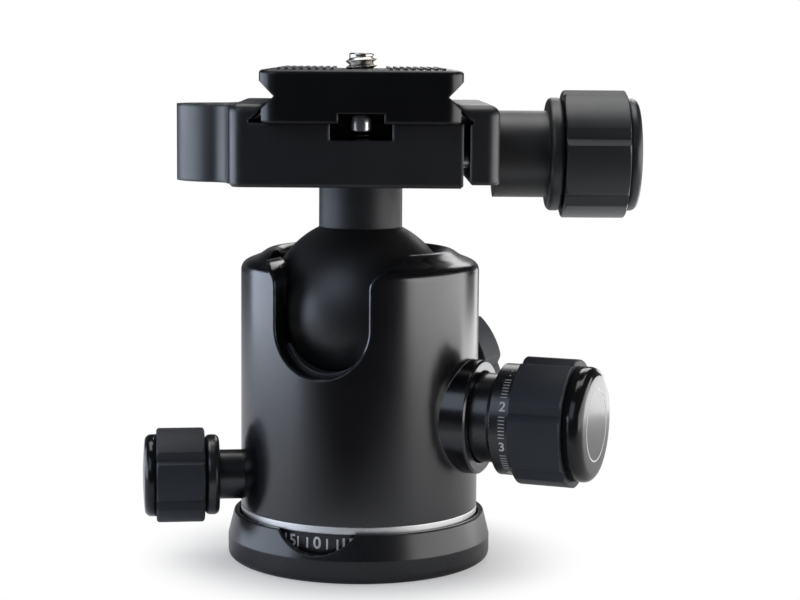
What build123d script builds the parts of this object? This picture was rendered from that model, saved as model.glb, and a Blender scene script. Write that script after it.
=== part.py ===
from build123d import *
import os
from math import acos, cos, degrees, hypot, radians, sin, sqrt

# Tripod ball head, in millimetres. +Z is up, the origin is the mouth of the tripod socket in
# the middle of the underside. An azimuth is measured from -Y, the front, towards +X.

# --- clearances -----------------------------------------------------------------------------
FIT = 0.02          # radial, between pieces that are fixed to each other
RUN = 0.05          # radial, between pieces that turn or slide
FACE_GAP = 0.05     # between faces that slide past each other

# --- sizes that the rest follows ------------------------------------------------------------
BALL_R = 19.0
BALL_LOW_Z = 32.26        # lowest point of the ball
STEM_R = 8.5
DOVETAIL_HALF_W = 19.0    # half of the camera plate's 38 mm
CLAMP_HALF_L = 25.0       # along Y
PLATE_HALF_L = 30.0       # along Y

# --- housing --------------------------------------------------------------------------------
BALL_Z = BALL_LOW_Z + BALL_R
CHAMBER_R = BALL_R + 0.6
HOUSING_WALL = 4.75
HOUSING_R = CHAMBER_R + HOUSING_WALL
BAND_LOW_Z = 9.6          # bright band
BAND_HIGH_Z = 11.0
DEGREE_RING_R = HOUSING_R - 0.35
END_FLANGE_TOP_Z = 22.0
END_SLEEVE_R = HOUSING_R - 3.45        # goes up into the housing
END_SLEEVE_BORE_R = END_SLEEVE_R - 1.5
PLATE_T = 2.0             # mechanism plate
LIP_R = BALL_R - 2.55     # opening over the ball
LIP_LOW_Z = BALL_Z + sqrt(BALL_R**2 - LIP_R**2) + 0.232
CREST_R = LIP_R + 1.55    # highest circle of the domed top
CREST_Z = LIP_LOW_Z + 3.0
SHOULDER_Z = CREST_Z - 4.6             # top of the straight wall
SHOULDER_R = 4.3          # rounding at the shoulder
NOTCH_AZIMUTH = -20.0
NOTCH_R = STEM_R + 1.3
NOTCH_Z = BALL_Z - 1.31   # centre of its round bottom
NOTCH_FLARE_R = 4.5
NOTCH_FLARE_TOP_Z = CREST_Z - 1.9
EDGE_BREAK = 0.4          # chamfer where black metal has an edge
FINE_BREAK = 0.2          # chamfer where a thin wall has one
BOSS_R = 11.55
BOSS_FACE = HOUSING_R + 2.51           # its face, from the axis of the head
BOSS_POCKET_R = 9.4
BOSS_POCKET_DEPTH = 1.5

# --- base -----------------------------------------------------------------------------------
SKIRT_BORE_R = HOUSING_R + 0.4
BASE_R = SKIRT_BORE_R + 2.25           # band below the cone
BASE_FOOT_R = BASE_R - 1.5             # flat of the underside
BASE_TOP_R = BASE_R - 1.25
BASE_KNEE_Z = 4.8         # where the cone meets the band
BASE_FOOT_H = 1.8         # height of the rounding at the foot
BASE_TOP_Z = 9.8
BASE_FLOOR = 3.2          # thickness of the floor
WINDOW_R = 10.0           # radius of the scoop in the skirt
WINDOW_LOW_Z = 5.5        # its lowest place
SOCKET_R = 4.0            # tapping size of the 3/8 inch thread
SOCKET_DEPTH = 12.0
BUSH_R = 7.0
BUSH_FLANGE_H = 1.2
BUSH_TOP_Z = 14.0
HUB_R = END_SLEEVE_BORE_R - 4.4
HUB_TOP_Z = END_FLANGE_TOP_Z + 0.4
HUB_SCREW_PCR = HUB_R - 2.9            # circle of the screws, as a radius
SMALL_SCREW_R = 1.5
SMALL_HEAD_R = 2.8
BUSH_FLANGE_R = HUB_SCREW_PCR - SMALL_HEAD_R - 0.3
SMALL_HEAD_H = 1.3
SMALL_SCREW_LENGTH = 8.0
BRAKE_GROOVE_DEPTH = 1.0
BRAKE_GROOVE_H = 8.8
WASHER_T = 0.9
KEEPER_R = HUB_R + 3.4    # retaining ring
KEEPER_T = 2.0
KEEPER_SCREW_PCR = HUB_R - 5.5
END_SPIGOT_R = HUB_R + 4.0             # carries the degree ring

# --- seats and wedges -----------------------------------------------------------------------
SEAT_CLEAR = 0.05         # upper seat to ball
CUP_CLEAR = 0.35          # cup to ball while released
CUP_R = CHAMBER_R - 0.1
CUP_LOW_Z = BALL_LOW_Z + 2.74
CUP_HIGH_Z = BALL_Z - 5.26
CUP_NOTCH_LEDGE = 0.5     # how far its notch stays inside the housing's
WEDGE_SLOPE = 0.5         # rise for each millimetre outwards
WEDGE_W = 10.0
WEDGE_TOP_Z = BALL_LOW_Z + 2.14        # height of the slope at WEDGE_INNER
WEDGE_INNER = sqrt(BALL_R**2 - (BALL_R - 2.376) ** 2)   # where the ball is 2.376 above its lowest point
WEDGE_NOSE = 0.9          # cut off its inner edge, which stays clear of the ball
WEDGE_OUTER = CHAMBER_R - 2.1
LOCK_CUP_GAP = 0.12       # slope to cup while released
FRICTION_CUP_GAP = 0.3

# --- knobs ----------------------------------------------------------------------------------
LOCK_AZIMUTH = 157.0
LOCK_Z = 34.0
FRICTION_AZIMUTH = 68.0
FRICTION_Z = 30.7
PAN_AZIMUTH = -84.0
PAN_Z = 17.25
GRIP_SIDES = 6
GROOVE_HALF_ANGLE = 8.0
GROOVE_DEPTH = 0.95
GRIP_CROWN = 0.35         # how far a face bulges below the round it was cut from
GRIP_EDGE = 0.7
FRICTION_GRIP_TURN = 44.0                # which way a face looks, in degrees
PAN_GRIP_TURN = 31.0
CLAMP_GRIP_TURN = 42.0
FLANGE_ROUND = 1.1        # rounding of a knob's flange
LOCK_SCREW_R = 3.5
FRICTION_SCREW_R = 2.5
PAN_SCREW_R = 2.5
CLAMP_SCREW_R = 3.0
BIG_BUSH_R = 6.0
BIG_BUSH_START = END_SLEEVE_R + 0.4    # inner end, from the axis of the head
PAN_BUSH_R = 4.2
BIG_NECK_R = 9.0
COLLAR_R = 11.2
BIG_GRIP_R = 13.1
BIG_GRIP_BORE_R = 9.0
BIG_CAP_R = 11.5
BIG_CAP_L = 4.0
BIG_GRIP_L = 10.6
FRICTION_NECK_END = BOSS_FACE + 3.64
FRICTION_COLLAR_START = FRICTION_NECK_END + 1.25
FRICTION_GRIP_START = FRICTION_COLLAR_START + 4.25
LOCK_GRIP_START = BOSS_FACE + 14.14
PAN_NECK_R = 5.05
PAN_FLANGE_R = 8.2
PAN_FLANGE_START = HOUSING_R + 4.6
PAN_GRIP_START = PAN_FLANGE_START + 3.0
PAN_GRIP_L = 9.8
PAN_GRIP_R = 9.65
PAN_GRIP_BORE_R = 6.5
PAN_CAP_R = 8.4
PAN_CAP_L = 2.75
PAN_POCKET_DEPTH = 1.2
KNOB_AXIAL_GAP = 0.8      # room for a knob to screw in

# --- stem and clamp -------------------------------------------------------------------------
STEM_REACH = 7.44         # stem, above the top of the ball
CLAMP_LOW_Z = BALL_Z + BALL_R + STEM_REACH
BED_Z = CLAMP_LOW_Z + 12.4
JAW_TOP_Z = BED_Z + 3.65
JAW_GAP = 0.05            # jaw slope to plate slope
JAW_RELIEF_X = DOVETAIL_HALF_W + 2.6
JAW_RELIEF_H = 0.65
JAW_INNER_X = DOVETAIL_HALF_W + 2.0
JAW_OUTER_X = JAW_INNER_X + 5.8
JAW_LOW_Z = CLAMP_LOW_Z + 0.7
JAW_ROUND = 2.2
CLAMP_LEFT_X = -DOVETAIL_HALF_W - 6.4
CLAMP_RIGHT_X = JAW_INNER_X - 1.3
CLAMP_CORNER_R = 2.5
CLAMP_TOP_ROUND = 1.6
CLAMP_FOOT_BREAK = 0.5
CHANNEL_HALF_W = 6.0
CHANNEL_DEPTH = 3.3
CHANNEL_END_Y = 12.0 - CLAMP_HALF_L
LEVEL_X = CLAMP_LEFT_X - 2.6
LEVEL_BOSS_R = 9.4
LEVEL_BOSS_TOP_Z = BED_Z + 3.0
LEVEL_BOSS_FILLET = 4.0
LEVEL_VIAL_R = 5.9
LEVEL_POCKET_DEPTH = 6.5
LEVEL_WALL = 1.2
BOLT_R = 3.0
BOLT_HEAD_R = 5.0
BOLT_HEAD_H = 5.4
BOLT_SEAT_Z = CLAMP_LOW_Z + 5.9
HEX_R = 2.9
HEX_DEPTH = 3.0
GUIDE_R = 2.0
GUIDE_Y = CLAMP_HALF_L - 9.0
GUIDE_INNER_X = 6.0
GUIDE_OUTER_X = JAW_OUTER_X - 1.2
GUIDE_HOLE_END_X = JAW_OUTER_X - 0.8
CLAMP_KNOB_Z = CLAMP_LOW_Z + 5.65
CLAMP_NECK_R = 8.8
CLAMP_FLANGE_R = 11.5
CLAMP_FLANGE_START = JAW_OUTER_X + 10.9
CLAMP_GRIP_START = CLAMP_FLANGE_START + 3.1
CLAMP_GRIP_L = 12.9
CLAMP_GRIP_R = 13.05
CLAMP_CAP_R = 11.45
CLAMP_CAP_L = 2.85
CLAMP_SCREW_TIP_X = 7.2
SPRING_R = 3.0
SPRING_POCKET_X = CLAMP_RIGHT_X - 6.1
PIN_Y = 4.5 - CLAMP_HALF_L
PIN_R = 1.7
PIN_FLANGE_R = 2.4
PIN_FLANGE_Z = BED_Z - 1.6
PIN_SHOULDER_Z = BED_Z + 0.15
PIN_TOP_Z = BED_Z + 1.6
PIN_SPRING_R = 2.1
PIN_SHANK_R = 1.2
PIN_POCKET_LOW_Z = BED_Z - 7.9
PIN_SHELF_LOW_Z = BED_Z - 9.1
PIN_CLIP_R = 2.3
PIN_CLIP_T = 0.6
PIN_WELL_R = 3.0

# --- camera plate ---------------------------------------------------------------------------
PLATE_HALF_W = DOVETAIL_HALF_W + 0.5
PLATE_LOW_Z = BED_Z + FACE_GAP
PLATE_H = 10.1
PLATE_TOP_Z = PLATE_LOW_Z + PLATE_H
VEE_X = DOVETAIL_HALF_W - 2.4          # bottom of the side grooves
VEE_Z = BED_Z + 5.2
PLATE_CORNER_R = 3.4
PLATE_TOP_ROUND = 0.7
PLATE_CHANNEL_HALF_W = 4.4
PLATE_CHANNEL_DEPTH = 1.9
PLATE_CHANNEL_END_Y = 15.0 - PLATE_HALF_L
PAD_INNER_X = 4.2
PAD_OUTER_X = PLATE_HALF_W - 2.3
PAD_HALF_L = PLATE_HALF_L - 2.0
PAD_T = 0.9
PAD_PROUD = 0.05
RIB_PITCH = 1.45
RIB_W = 0.7
RIB_H = 0.4
CAMERA_SCREW_R = 3.175
CAMERA_NECK_R = 2.55       # plain, below the thread
CAMERA_SCREW_PROUD = 3.3
CAMERA_SCREW_TRAVEL = 1.8  # up, from its clip to the ceiling of its pocket
CAMERA_HEAD_R = 7.0
CAMERA_HEAD_H = 2.4
CAMERA_POCKET_R = 8.0
CAMERA_WASHER_R = 6.0
CAMERA_WASHER_T = 0.6
CAMERA_CLIP_LOW = 0.7      # above the plate's underside
CAMERA_CLIP_T = 0.8
CAMERA_CLIP_BORE_R = 6.3
CAMERA_CLIP_GRIP = 0.5     # how deep its groove is


# --- helpers --------------------------------------------------------------------------------
def disc(radius, low, high, x=0.0, y=0.0):
    """Upright cylinder between two heights."""
    return Pos(x, y, low) * Cylinder(radius, high - low, align=(Align.CENTER, Align.CENTER, Align.MIN))


def ring(outer, inner, low, high):
    return disc(outer, low, high) - disc(inner, low - 1, high + 1)


def turned(points):
    """Solid of revolution about Z from an outline of (radius, height) corners."""
    return revolve(Plane.XZ * make_face(Polyline(*points, close=True)), Axis.Z)


def spoke(azimuth, height):
    """Frame on the head's axis whose Z points outwards along an azimuth, with X up."""
    outward = (sin(radians(azimuth)), -cos(radians(azimuth)), 0)
    return Plane(origin=(0, 0, height), x_dir=(0, 0, 1), z_dir=outward).location


def around(count, radius, start=0.0):
    """Places evenly spaced on a circle."""
    turns = [radians(start + 360.0 * i / count) for i in range(count)]
    return [(radius * cos(a), radius * sin(a)) for a in turns]


def hexagon_pocket(radius, depth, top, x=0.0, y=0.0):
    """Prism for a hexagon socket, cut down from a height."""
    return Pos(x, y, top - depth) * extrude(RegularPolygon(radius, 6), depth + 1)


def countersunk_screw(top, x, y):
    """Small countersunk screw whose flat head ends at a height."""
    neck = top - SMALL_HEAD_H
    outline = [
        (0, neck - SMALL_SCREW_LENGTH),
        (SMALL_SCREW_R, neck - SMALL_SCREW_LENGTH),
        (SMALL_SCREW_R, neck),
        (SMALL_HEAD_R, top),
        (0, top),
    ]
    return Pos(x, y, 0) * turned(outline) - hexagon_pocket(SMALL_SCREW_R * 0.7, SMALL_HEAD_H, top, x, y)


def countersink(top, x, y):
    """Space for a countersunk screw, with its clearances."""
    neck = top - SMALL_HEAD_H
    outline = [
        (0, neck - SMALL_SCREW_LENGTH - FIT),
        (SMALL_SCREW_R + FIT, neck - SMALL_SCREW_LENGTH - FIT),
        (SMALL_SCREW_R + FIT, neck),
        (SMALL_HEAD_R + FIT, top),
        (SMALL_HEAD_R + FIT, top + 1),
        (0, top + 1),
    ]
    return Pos(x, y, 0) * turned(outline)


# --- base -----------------------------------------------------------------------------------
def hub_screw_places():
    return around(3, HUB_SCREW_PCR, 30)


def make_base_shell():
    with BuildPart() as cup:
        with BuildSketch(Plane.XZ):
            with BuildLine():
                Polyline((BUSH_R + FIT, 0), (BASE_FOOT_R, 0))
                Spline((BASE_FOOT_R, 0), (BASE_R, BASE_FOOT_H), tangents=[(1, 0.35), (0, 1)])
                Polyline(
                    (BASE_R, BASE_FOOT_H),
                    (BASE_R, BASE_KNEE_Z),
                    (BASE_TOP_R, BASE_TOP_Z),
                    (SKIRT_BORE_R, BASE_TOP_Z),
                    (SKIRT_BORE_R, BASE_FLOOR),
                    (BUSH_R + FIT, BASE_FLOOR),
                    (BUSH_R + FIT, 0),
                )
            make_face()
        revolve(axis=Axis.Z)
    body = cup.part
    top_rims = body.edges().filter_by(GeomType.CIRCLE).group_by(Axis.Z)[-1]
    body = chamfer(top_rims, FINE_BREAK)
    scoop = spoke(NOTCH_AZIMUTH, WINDOW_LOW_Z + WINDOW_R) * Pos(0, 0, SKIRT_BORE_R) * Cylinder(WINDOW_R, 12)
    body -= scoop
    body -= disc(BUSH_FLANGE_R + FIT, -1, BUSH_FLANGE_H)
    for x, y in hub_screw_places():
        body -= Rot(180, 0, 0) * countersink(0, x, -y)
    return body


def make_base_hub():
    body = ring(HUB_R, BUSH_R + FIT, BASE_FLOOR, HUB_TOP_Z)
    half = BRAKE_GROOVE_H / 2
    body -= ring(HUB_R + 1, HUB_R - BRAKE_GROOVE_DEPTH, PAN_Z - half, PAN_Z + half)
    for x, y in hub_screw_places():
        body -= Rot(180, 0, 0) * countersink(0, x, -y)
    for x, y in around(3, KEEPER_SCREW_PCR, 90):
        body -= countersink(HUB_TOP_Z + KEEPER_T, x, y)
    return body


def make_tripod_bush():
    body = disc(BUSH_FLANGE_R, 0, BUSH_FLANGE_H) + disc(BUSH_R, 0, BUSH_TOP_Z)
    return body - disc(SOCKET_R, -1, SOCKET_DEPTH)


def make_hub_screws():
    return [Rot(180, 0, 0) * countersunk_screw(0, x, -y) for x, y in hub_screw_places()]


def make_retaining_ring():
    body = ring(KEEPER_R, SMALL_HEAD_R, HUB_TOP_Z, HUB_TOP_Z + KEEPER_T)
    for x, y in around(3, KEEPER_SCREW_PCR, 90):
        body -= countersink(HUB_TOP_Z + KEEPER_T, x, y)
    return body


def make_retaining_screws():
    return [countersunk_screw(HUB_TOP_Z + KEEPER_T, x, y) for x, y in around(3, KEEPER_SCREW_PCR, 90)]


def end_ring_low_z():
    return BASE_FLOOR + WASHER_T + FACE_GAP


def make_lower_glide_washer():
    return ring(DEGREE_RING_R - 0.5, HUB_R + FIT, BASE_FLOOR, BASE_FLOOR + WASHER_T)


def make_upper_glide_washer():
    return ring(KEEPER_R - 0.3, HUB_R + FIT, END_FLANGE_TOP_Z + FACE_GAP, HUB_TOP_Z - FIT)


# --- housing --------------------------------------------------------------------------------
def mechanism_plate_low_z():
    return HUB_TOP_Z + KEEPER_T + 0.5


def mechanism_plate_top_z():
    return mechanism_plate_low_z() + PLATE_T


def notch_prism(narrower=0.0):
    """Upright U of the drop notch with flared top corners, as a prism along its azimuth."""
    half = NOTCH_R - narrower
    flare = half + NOTCH_FLARE_R
    straight = NOTCH_FLARE_TOP_Z - NOTCH_FLARE_R
    turn = sqrt(0.5) * NOTCH_FLARE_R
    top = CREST_Z + 2
    # the sketch frame has X up and Y across
    with BuildSketch() as outline:
        with BuildLine():
            ThreePointArc(
                (NOTCH_Z, -half), (NOTCH_Z - half, 0), (NOTCH_Z, half)
            )
            for side in (-1, 1):
                Line((NOTCH_Z, side * half), (straight, side * half))
                ThreePointArc(
                    (straight, side * half),
                    (straight + turn, side * (flare - turn)),
                    (NOTCH_FLARE_TOP_Z, side * flare),
                )
                Line((NOTCH_FLARE_TOP_Z, side * flare), (top, side * flare))
            Line((top, -flare), (top, flare))
        make_face()
    return spoke(NOTCH_AZIMUTH, 0) * extrude(outline.sketch, HOUSING_R + 8)


def housing_blank():
    """Outer form of the housing: straight wall, round shoulder and a dome up to the crest."""
    dome_start = (HOUSING_R - SHOULDER_R * 0.85, SHOULDER_Z + SHOULDER_R * 0.72)
    with BuildPart() as blank:
        with BuildSketch(Plane.XZ):
            with BuildLine():
                Polyline((0, BAND_HIGH_Z), (HOUSING_R, BAND_HIGH_Z), (HOUSING_R, SHOULDER_Z))
                Spline(
                    (HOUSING_R, SHOULDER_Z),
                    dome_start,
                    (CREST_R, CREST_Z - 0.12),
                    tangents=[(0, 1), (-1, 0.1)],
                )
                Spline(
                    (CREST_R, CREST_Z - 0.12),
                    (LIP_R + 0.45, CREST_Z - 0.55),
                    (LIP_R, CREST_Z - 1.7),
                    tangents=[(-1, 0.1), (0, -1)],
                )
                Polyline((LIP_R, CREST_Z - 1.7), (0, CREST_Z - 1.7), (0, BAND_HIGH_Z))
            make_face()
        revolve(axis=Axis.Z)
    return blank.part


def boss(azimuth, height):
    where = spoke(azimuth, height)
    blank = where * Pos(0, 0, CHAMBER_R + 1) * Cylinder(
        BOSS_R, BOSS_FACE - CHAMBER_R - 1, align=(Align.CENTER, Align.CENTER, Align.MIN)
    )
    rim = blank.edges().filter_by(GeomType.CIRCLE).sort_by_distance(
        (where * Pos(0, 0, BOSS_FACE)).position
    )[0]
    return chamfer(rim, EDGE_BREAK)


def boss_pocket(azimuth, height, screw_r):
    """Pocket for the knob's neck, seat of the thread bush and the screw's way in."""
    where = spoke(azimuth, height)
    floor = BOSS_FACE - BOSS_POCKET_DEPTH
    low = (Align.CENTER, Align.CENTER, Align.MIN)
    pocket = where * Pos(0, 0, floor) * Cylinder(BOSS_POCKET_R, 10, align=low)
    seat = where * Pos(0, 0, BIG_BUSH_START) * Cylinder(BIG_BUSH_R + FIT, 10, align=low)
    way = where * Pos(0, 0, BIG_BUSH_START - 5) * Cylinder(screw_r + 0.3, 10, align=low)
    return pocket + seat + way


def outer_notch_edges(body, before):
    """Edges that the notch has made in the straight wall."""
    return [
        edge
        for edge in body.edges()
        if abs(hypot((edge @ 0.5).X, (edge @ 0.5).Y) - HOUSING_R) < 0.01
        and not any((edge @ 0.5 - old @ 0.5).length < 0.01 for old in before)
    ]


def make_ball_housing():
    body = housing_blank()
    body += boss(LOCK_AZIMUTH, LOCK_Z) + boss(FRICTION_AZIMUTH, FRICTION_Z)
    body -= disc(LIP_R, LIP_LOW_Z - 1, CREST_Z + 5)
    body -= disc(CHAMBER_R, mechanism_plate_top_z() - 1, LIP_LOW_Z)
    body -= disc(END_SLEEVE_R + FIT, BAND_HIGH_Z - 1, mechanism_plate_top_z())
    body -= boss_pocket(LOCK_AZIMUTH, LOCK_Z, LOCK_SCREW_R)
    body -= boss_pocket(FRICTION_AZIMUTH, FRICTION_Z, FRICTION_SCREW_R)
    pan = spoke(PAN_AZIMUTH, PAN_Z)
    low = (Align.CENTER, Align.CENTER, Align.MIN)
    body -= pan * Pos(0, 0, HOUSING_R - PAN_POCKET_DEPTH) * Cylinder(PAN_NECK_R + 0.15, 10, align=low)
    body -= pan * Pos(0, 0, END_SLEEVE_R - 2) * Cylinder(PAN_BUSH_R + FIT, 10, align=low)
    body -= Pos(0, 0, BALL_Z) * Sphere(BALL_R + 2 * SEAT_CLEAR)
    before = body.edges()
    body -= notch_prism()
    return chamfer(outer_notch_edges(body, before), EDGE_BREAK)


def make_bright_end_ring():
    sleeve_top = mechanism_plate_low_z()
    outline = [
        (HUB_R + RUN, end_ring_low_z()),
        (END_SPIGOT_R, end_ring_low_z()),
        (END_SPIGOT_R, BAND_LOW_Z),
        (HOUSING_R, BAND_LOW_Z),
        (HOUSING_R, BAND_HIGH_Z),
        (END_SLEEVE_R, BAND_HIGH_Z),
        (END_SLEEVE_R, sleeve_top),
        (END_SLEEVE_BORE_R, sleeve_top),
        (END_SLEEVE_BORE_R, END_FLANGE_TOP_Z),
        (HUB_R + RUN, END_FLANGE_TOP_Z),
    ]
    hole = spoke(PAN_AZIMUTH, PAN_Z) * Pos(0, 0, END_SLEEVE_R) * Cylinder(PAN_BUSH_R + RUN, 16)
    return turned(outline) - hole


def make_degree_ring():
    return ring(DEGREE_RING_R, END_SPIGOT_R + FIT, end_ring_low_z(), BAND_LOW_Z)


def make_upper_ball_seat():
    low = LIP_LOW_Z - 8.0
    body = ring(CHAMBER_R - FIT, LIP_R - 2, low, LIP_LOW_Z)
    body -= Pos(0, 0, BALL_Z) * Sphere(BALL_R + SEAT_CLEAR)
    body -= disc(LIP_R, low - 1, LIP_LOW_Z + 1)
    return body - notch_prism()


def make_mechanism_plate():
    return ring(END_SLEEVE_R, 5.0, mechanism_plate_low_z(), mechanism_plate_top_z())


def knob_bush(azimuth, height, screw_r):
    inner = BIG_BUSH_START
    outer = BOSS_FACE - BOSS_POCKET_DEPTH
    tube = Cylinder(BIG_BUSH_R, outer - inner) - Cylinder(screw_r + RUN, outer)
    return spoke(azimuth, height) * Pos(0, 0, (inner + outer) / 2) * tube


def make_pan_thread_bush():
    inner = HUB_R + 2.9
    outer = HOUSING_R - PAN_POCKET_DEPTH
    tube = Cylinder(PAN_BUSH_R, outer - inner) - Cylinder(PAN_SCREW_R + RUN, outer)
    return spoke(PAN_AZIMUTH, PAN_Z) * Pos(0, 0, (inner + outer) / 2) * tube


# --- mechanism ------------------------------------------------------------------------------
def wedge_height(distance):
    return WEDGE_TOP_Z + WEDGE_SLOPE * (distance - WEDGE_INNER)


def wedge_form(azimuth, inner, outer, low, gap, width, nose=0.0):
    """Block under the sloping plane of a wedge, its slope raised by a gap and its nose cut back."""
    corners = [
        (inner, low),
        (outer, low),
        (outer, wedge_height(outer) + gap),
        (inner + nose, wedge_height(inner + nose) + gap),
    ]
    if nose:
        corners.append((inner, wedge_height(inner) - nose))
    profile = make_face(Polyline(*corners, close=True))
    return Rot(0, 0, azimuth - 90) * extrude(Plane.XZ * profile, width / 2, both=True)


def make_wedge(azimuth):
    low = mechanism_plate_top_z() + FACE_GAP
    return wedge_form(azimuth, WEDGE_INNER, WEDGE_OUTER, low, 0, WEDGE_W, nose=WEDGE_NOSE)


def make_ball_cup():
    body = disc(CUP_R, CUP_LOW_Z, CUP_HIGH_Z) - Pos(0, 0, BALL_Z) * Sphere(BALL_R + CUP_CLEAR)
    for azimuth, gap in ((LOCK_AZIMUTH, LOCK_CUP_GAP), (FRICTION_AZIMUTH, FRICTION_CUP_GAP)):
        body -= wedge_form(azimuth, WEDGE_INNER - 2, CUP_R + 2, CUP_LOW_Z - 4, gap, WEDGE_W + 0.3)
    return body - notch_prism(CUP_NOTCH_LEDGE)


def make_pan_brake_shoe():
    inner = HUB_R - BRAKE_GROOVE_DEPTH + 0.35
    outer = HUB_R + 2.3
    where = spoke(PAN_AZIMUTH, PAN_Z)
    low = (Align.CENTER, Align.CENTER, Align.MIN)
    blank = where * Pos(0, 0, inner - 3) * Cylinder(PAN_BUSH_R, outer - inner + 3, align=low)
    return blank - disc(inner, PAN_Z - 8, PAN_Z + 8)


# --- knobs ----------------------------------------------------------------------------------
def rounded_rims(body, radius, low, high):
    """Rounds the two rims of a flange that lies between two distances on Z."""
    for height in (low, high):
        rim = body.edges().filter_by(GeomType.CIRCLE).sort_by_distance((radius, 0, height))[0]
        body = fillet(rim, FLANGE_ROUND)
    return body


def grip_outline(radius):
    """Six crowned faces with a shallow V between each two."""
    step = 360.0 / GRIP_SIDES
    half = step / 2 - GROOVE_HALF_ANGLE

    def at(angle, r):
        return (r * cos(radians(angle)), r * sin(radians(angle)))

    with BuildSketch() as outline:
        with BuildLine():
            for side in range(GRIP_SIDES):
                middle = side * step
                start, end = at(middle - half, radius), at(middle + half, radius)
                ThreePointArc(start, at(middle, radius - GRIP_CROWN), end)
                root = at(middle + step / 2, radius - GROOVE_DEPTH)
                Line(end, root)
                Line(root, at(middle + step - half, radius))
        make_face()
    return outline.sketch


def grip(radius, bore, start, length, turn):
    """Rubber grip on Z from start, with rounded ends."""
    low = (Align.CENTER, Align.CENTER, Align.MIN)
    blank = Pos(0, 0, start) * Rot(0, 0, turn) * extrude(grip_outline(radius), length)
    bound = Pos(0, 0, start) * Cylinder(radius + 0.01, length, align=low)
    bound = fillet(bound.edges().filter_by(GeomType.CIRCLE), GRIP_EDGE)
    return (blank & bound) - Pos(0, 0, start - 1) * Cylinder(bore + FIT, length + 2, align=low)


def cap(radius, start, length, dome=0.35, edge=1.9):
    """Round end cap on Z with a rolled rim and a slightly domed face."""
    top = start + length
    edge = min(edge, length * 0.6)
    turn = edge * (1 - sqrt(0.5))
    flat = radius - edge
    ball = (flat**2 + dome**2) / (2 * dome)
    foot = degrees(acos(flat / ball))
    shoulder = top - dome - edge
    with BuildPart() as piece:
        with BuildSketch(Plane.XZ):
            with BuildLine():
                Polyline((0, start), (radius - 0.5, start), (radius, start + 0.5), (radius, shoulder))
                ThreePointArc(
                    (radius, shoulder),
                    (radius - turn, top - dome - turn),
                    (flat, top - dome),
                )
                CenterArc((0, top - ball), ball, foot, 90 - foot)
                Line((0, top), (0, start))
            make_face()
        revolve(axis=Axis.Z)
    return piece.part


def screw_bore(radius, start, end):
    low = (Align.CENTER, Align.CENTER, Align.MIN)
    return Pos(0, 0, start) * Cylinder(radius + FIT, end - start, align=low)


def rod(radius, start, end):
    low = (Align.CENTER, Align.CENTER, Align.MIN)
    body = Pos(0, 0, start) * Cylinder(radius, end - start, align=low)
    return chamfer(body.edges().filter_by(GeomType.CIRCLE), radius * 0.15)


def neck_start():
    return BOSS_FACE - BOSS_POCKET_DEPTH + KNOB_AXIAL_GAP


def big_knob_hub(screw_r, neck_end, collar_start, grip_start):
    """Neck, collar and the core that the grip is pressed on, in one turned piece."""
    core_end = grip_start + BIG_GRIP_L - 0.2
    outline = [
        (0, neck_start()),
        (BIG_NECK_R, neck_start()),
        (BIG_NECK_R, neck_end),
        (COLLAR_R, collar_start),
        (COLLAR_R, grip_start - FIT),
        (BIG_GRIP_BORE_R, grip_start - FIT),
        (BIG_GRIP_BORE_R, core_end),
        (0, core_end),
    ]
    return turned(outline) - screw_bore(screw_r, neck_start() - 1, core_end - 3)


def big_knob(azimuth, height, screw_r, neck_end, collar_start, grip_start, turn):
    """Screw, hub, grip and cap of a big knob, set on the head."""
    where = spoke(azimuth, height)
    core_end = grip_start + BIG_GRIP_L - 0.2
    pieces = [
        rod(screw_r, WEDGE_OUTER + FACE_GAP, core_end - 3.2),
        big_knob_hub(screw_r, neck_end, collar_start, grip_start),
        grip(BIG_GRIP_R, BIG_GRIP_BORE_R, grip_start, BIG_GRIP_L, turn),
        cap(BIG_CAP_R, grip_start + BIG_GRIP_L + FIT, BIG_CAP_L),
    ]
    return [where * piece for piece in pieces]


def pan_knob():
    where = spoke(PAN_AZIMUTH, PAN_Z)
    neck = HOUSING_R - PAN_POCKET_DEPTH + 0.6
    core_end = PAN_GRIP_START + PAN_GRIP_L - 0.2
    outline = [
        (0, neck),
        (PAN_NECK_R, neck),
        (PAN_NECK_R, PAN_FLANGE_START),
        (PAN_FLANGE_R, PAN_FLANGE_START),
        (PAN_FLANGE_R, PAN_GRIP_START - FIT),
        (PAN_GRIP_BORE_R, PAN_GRIP_START - FIT),
        (PAN_GRIP_BORE_R, core_end),
        (0, core_end),
    ]
    hub = rounded_rims(turned(outline), PAN_FLANGE_R, PAN_FLANGE_START, PAN_GRIP_START - FIT)
    pieces = [
        rod(PAN_SCREW_R, HUB_R + 2.3 + FACE_GAP, core_end - 3.2),
        hub - screw_bore(PAN_SCREW_R, neck - 1, core_end - 3),
        grip(PAN_GRIP_R, PAN_GRIP_BORE_R, PAN_GRIP_START, PAN_GRIP_L, PAN_GRIP_TURN),
        cap(PAN_CAP_R, PAN_GRIP_START + PAN_GRIP_L + FIT, PAN_CAP_L, edge=1.4),
    ]
    return [where * piece for piece in pieces]


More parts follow.
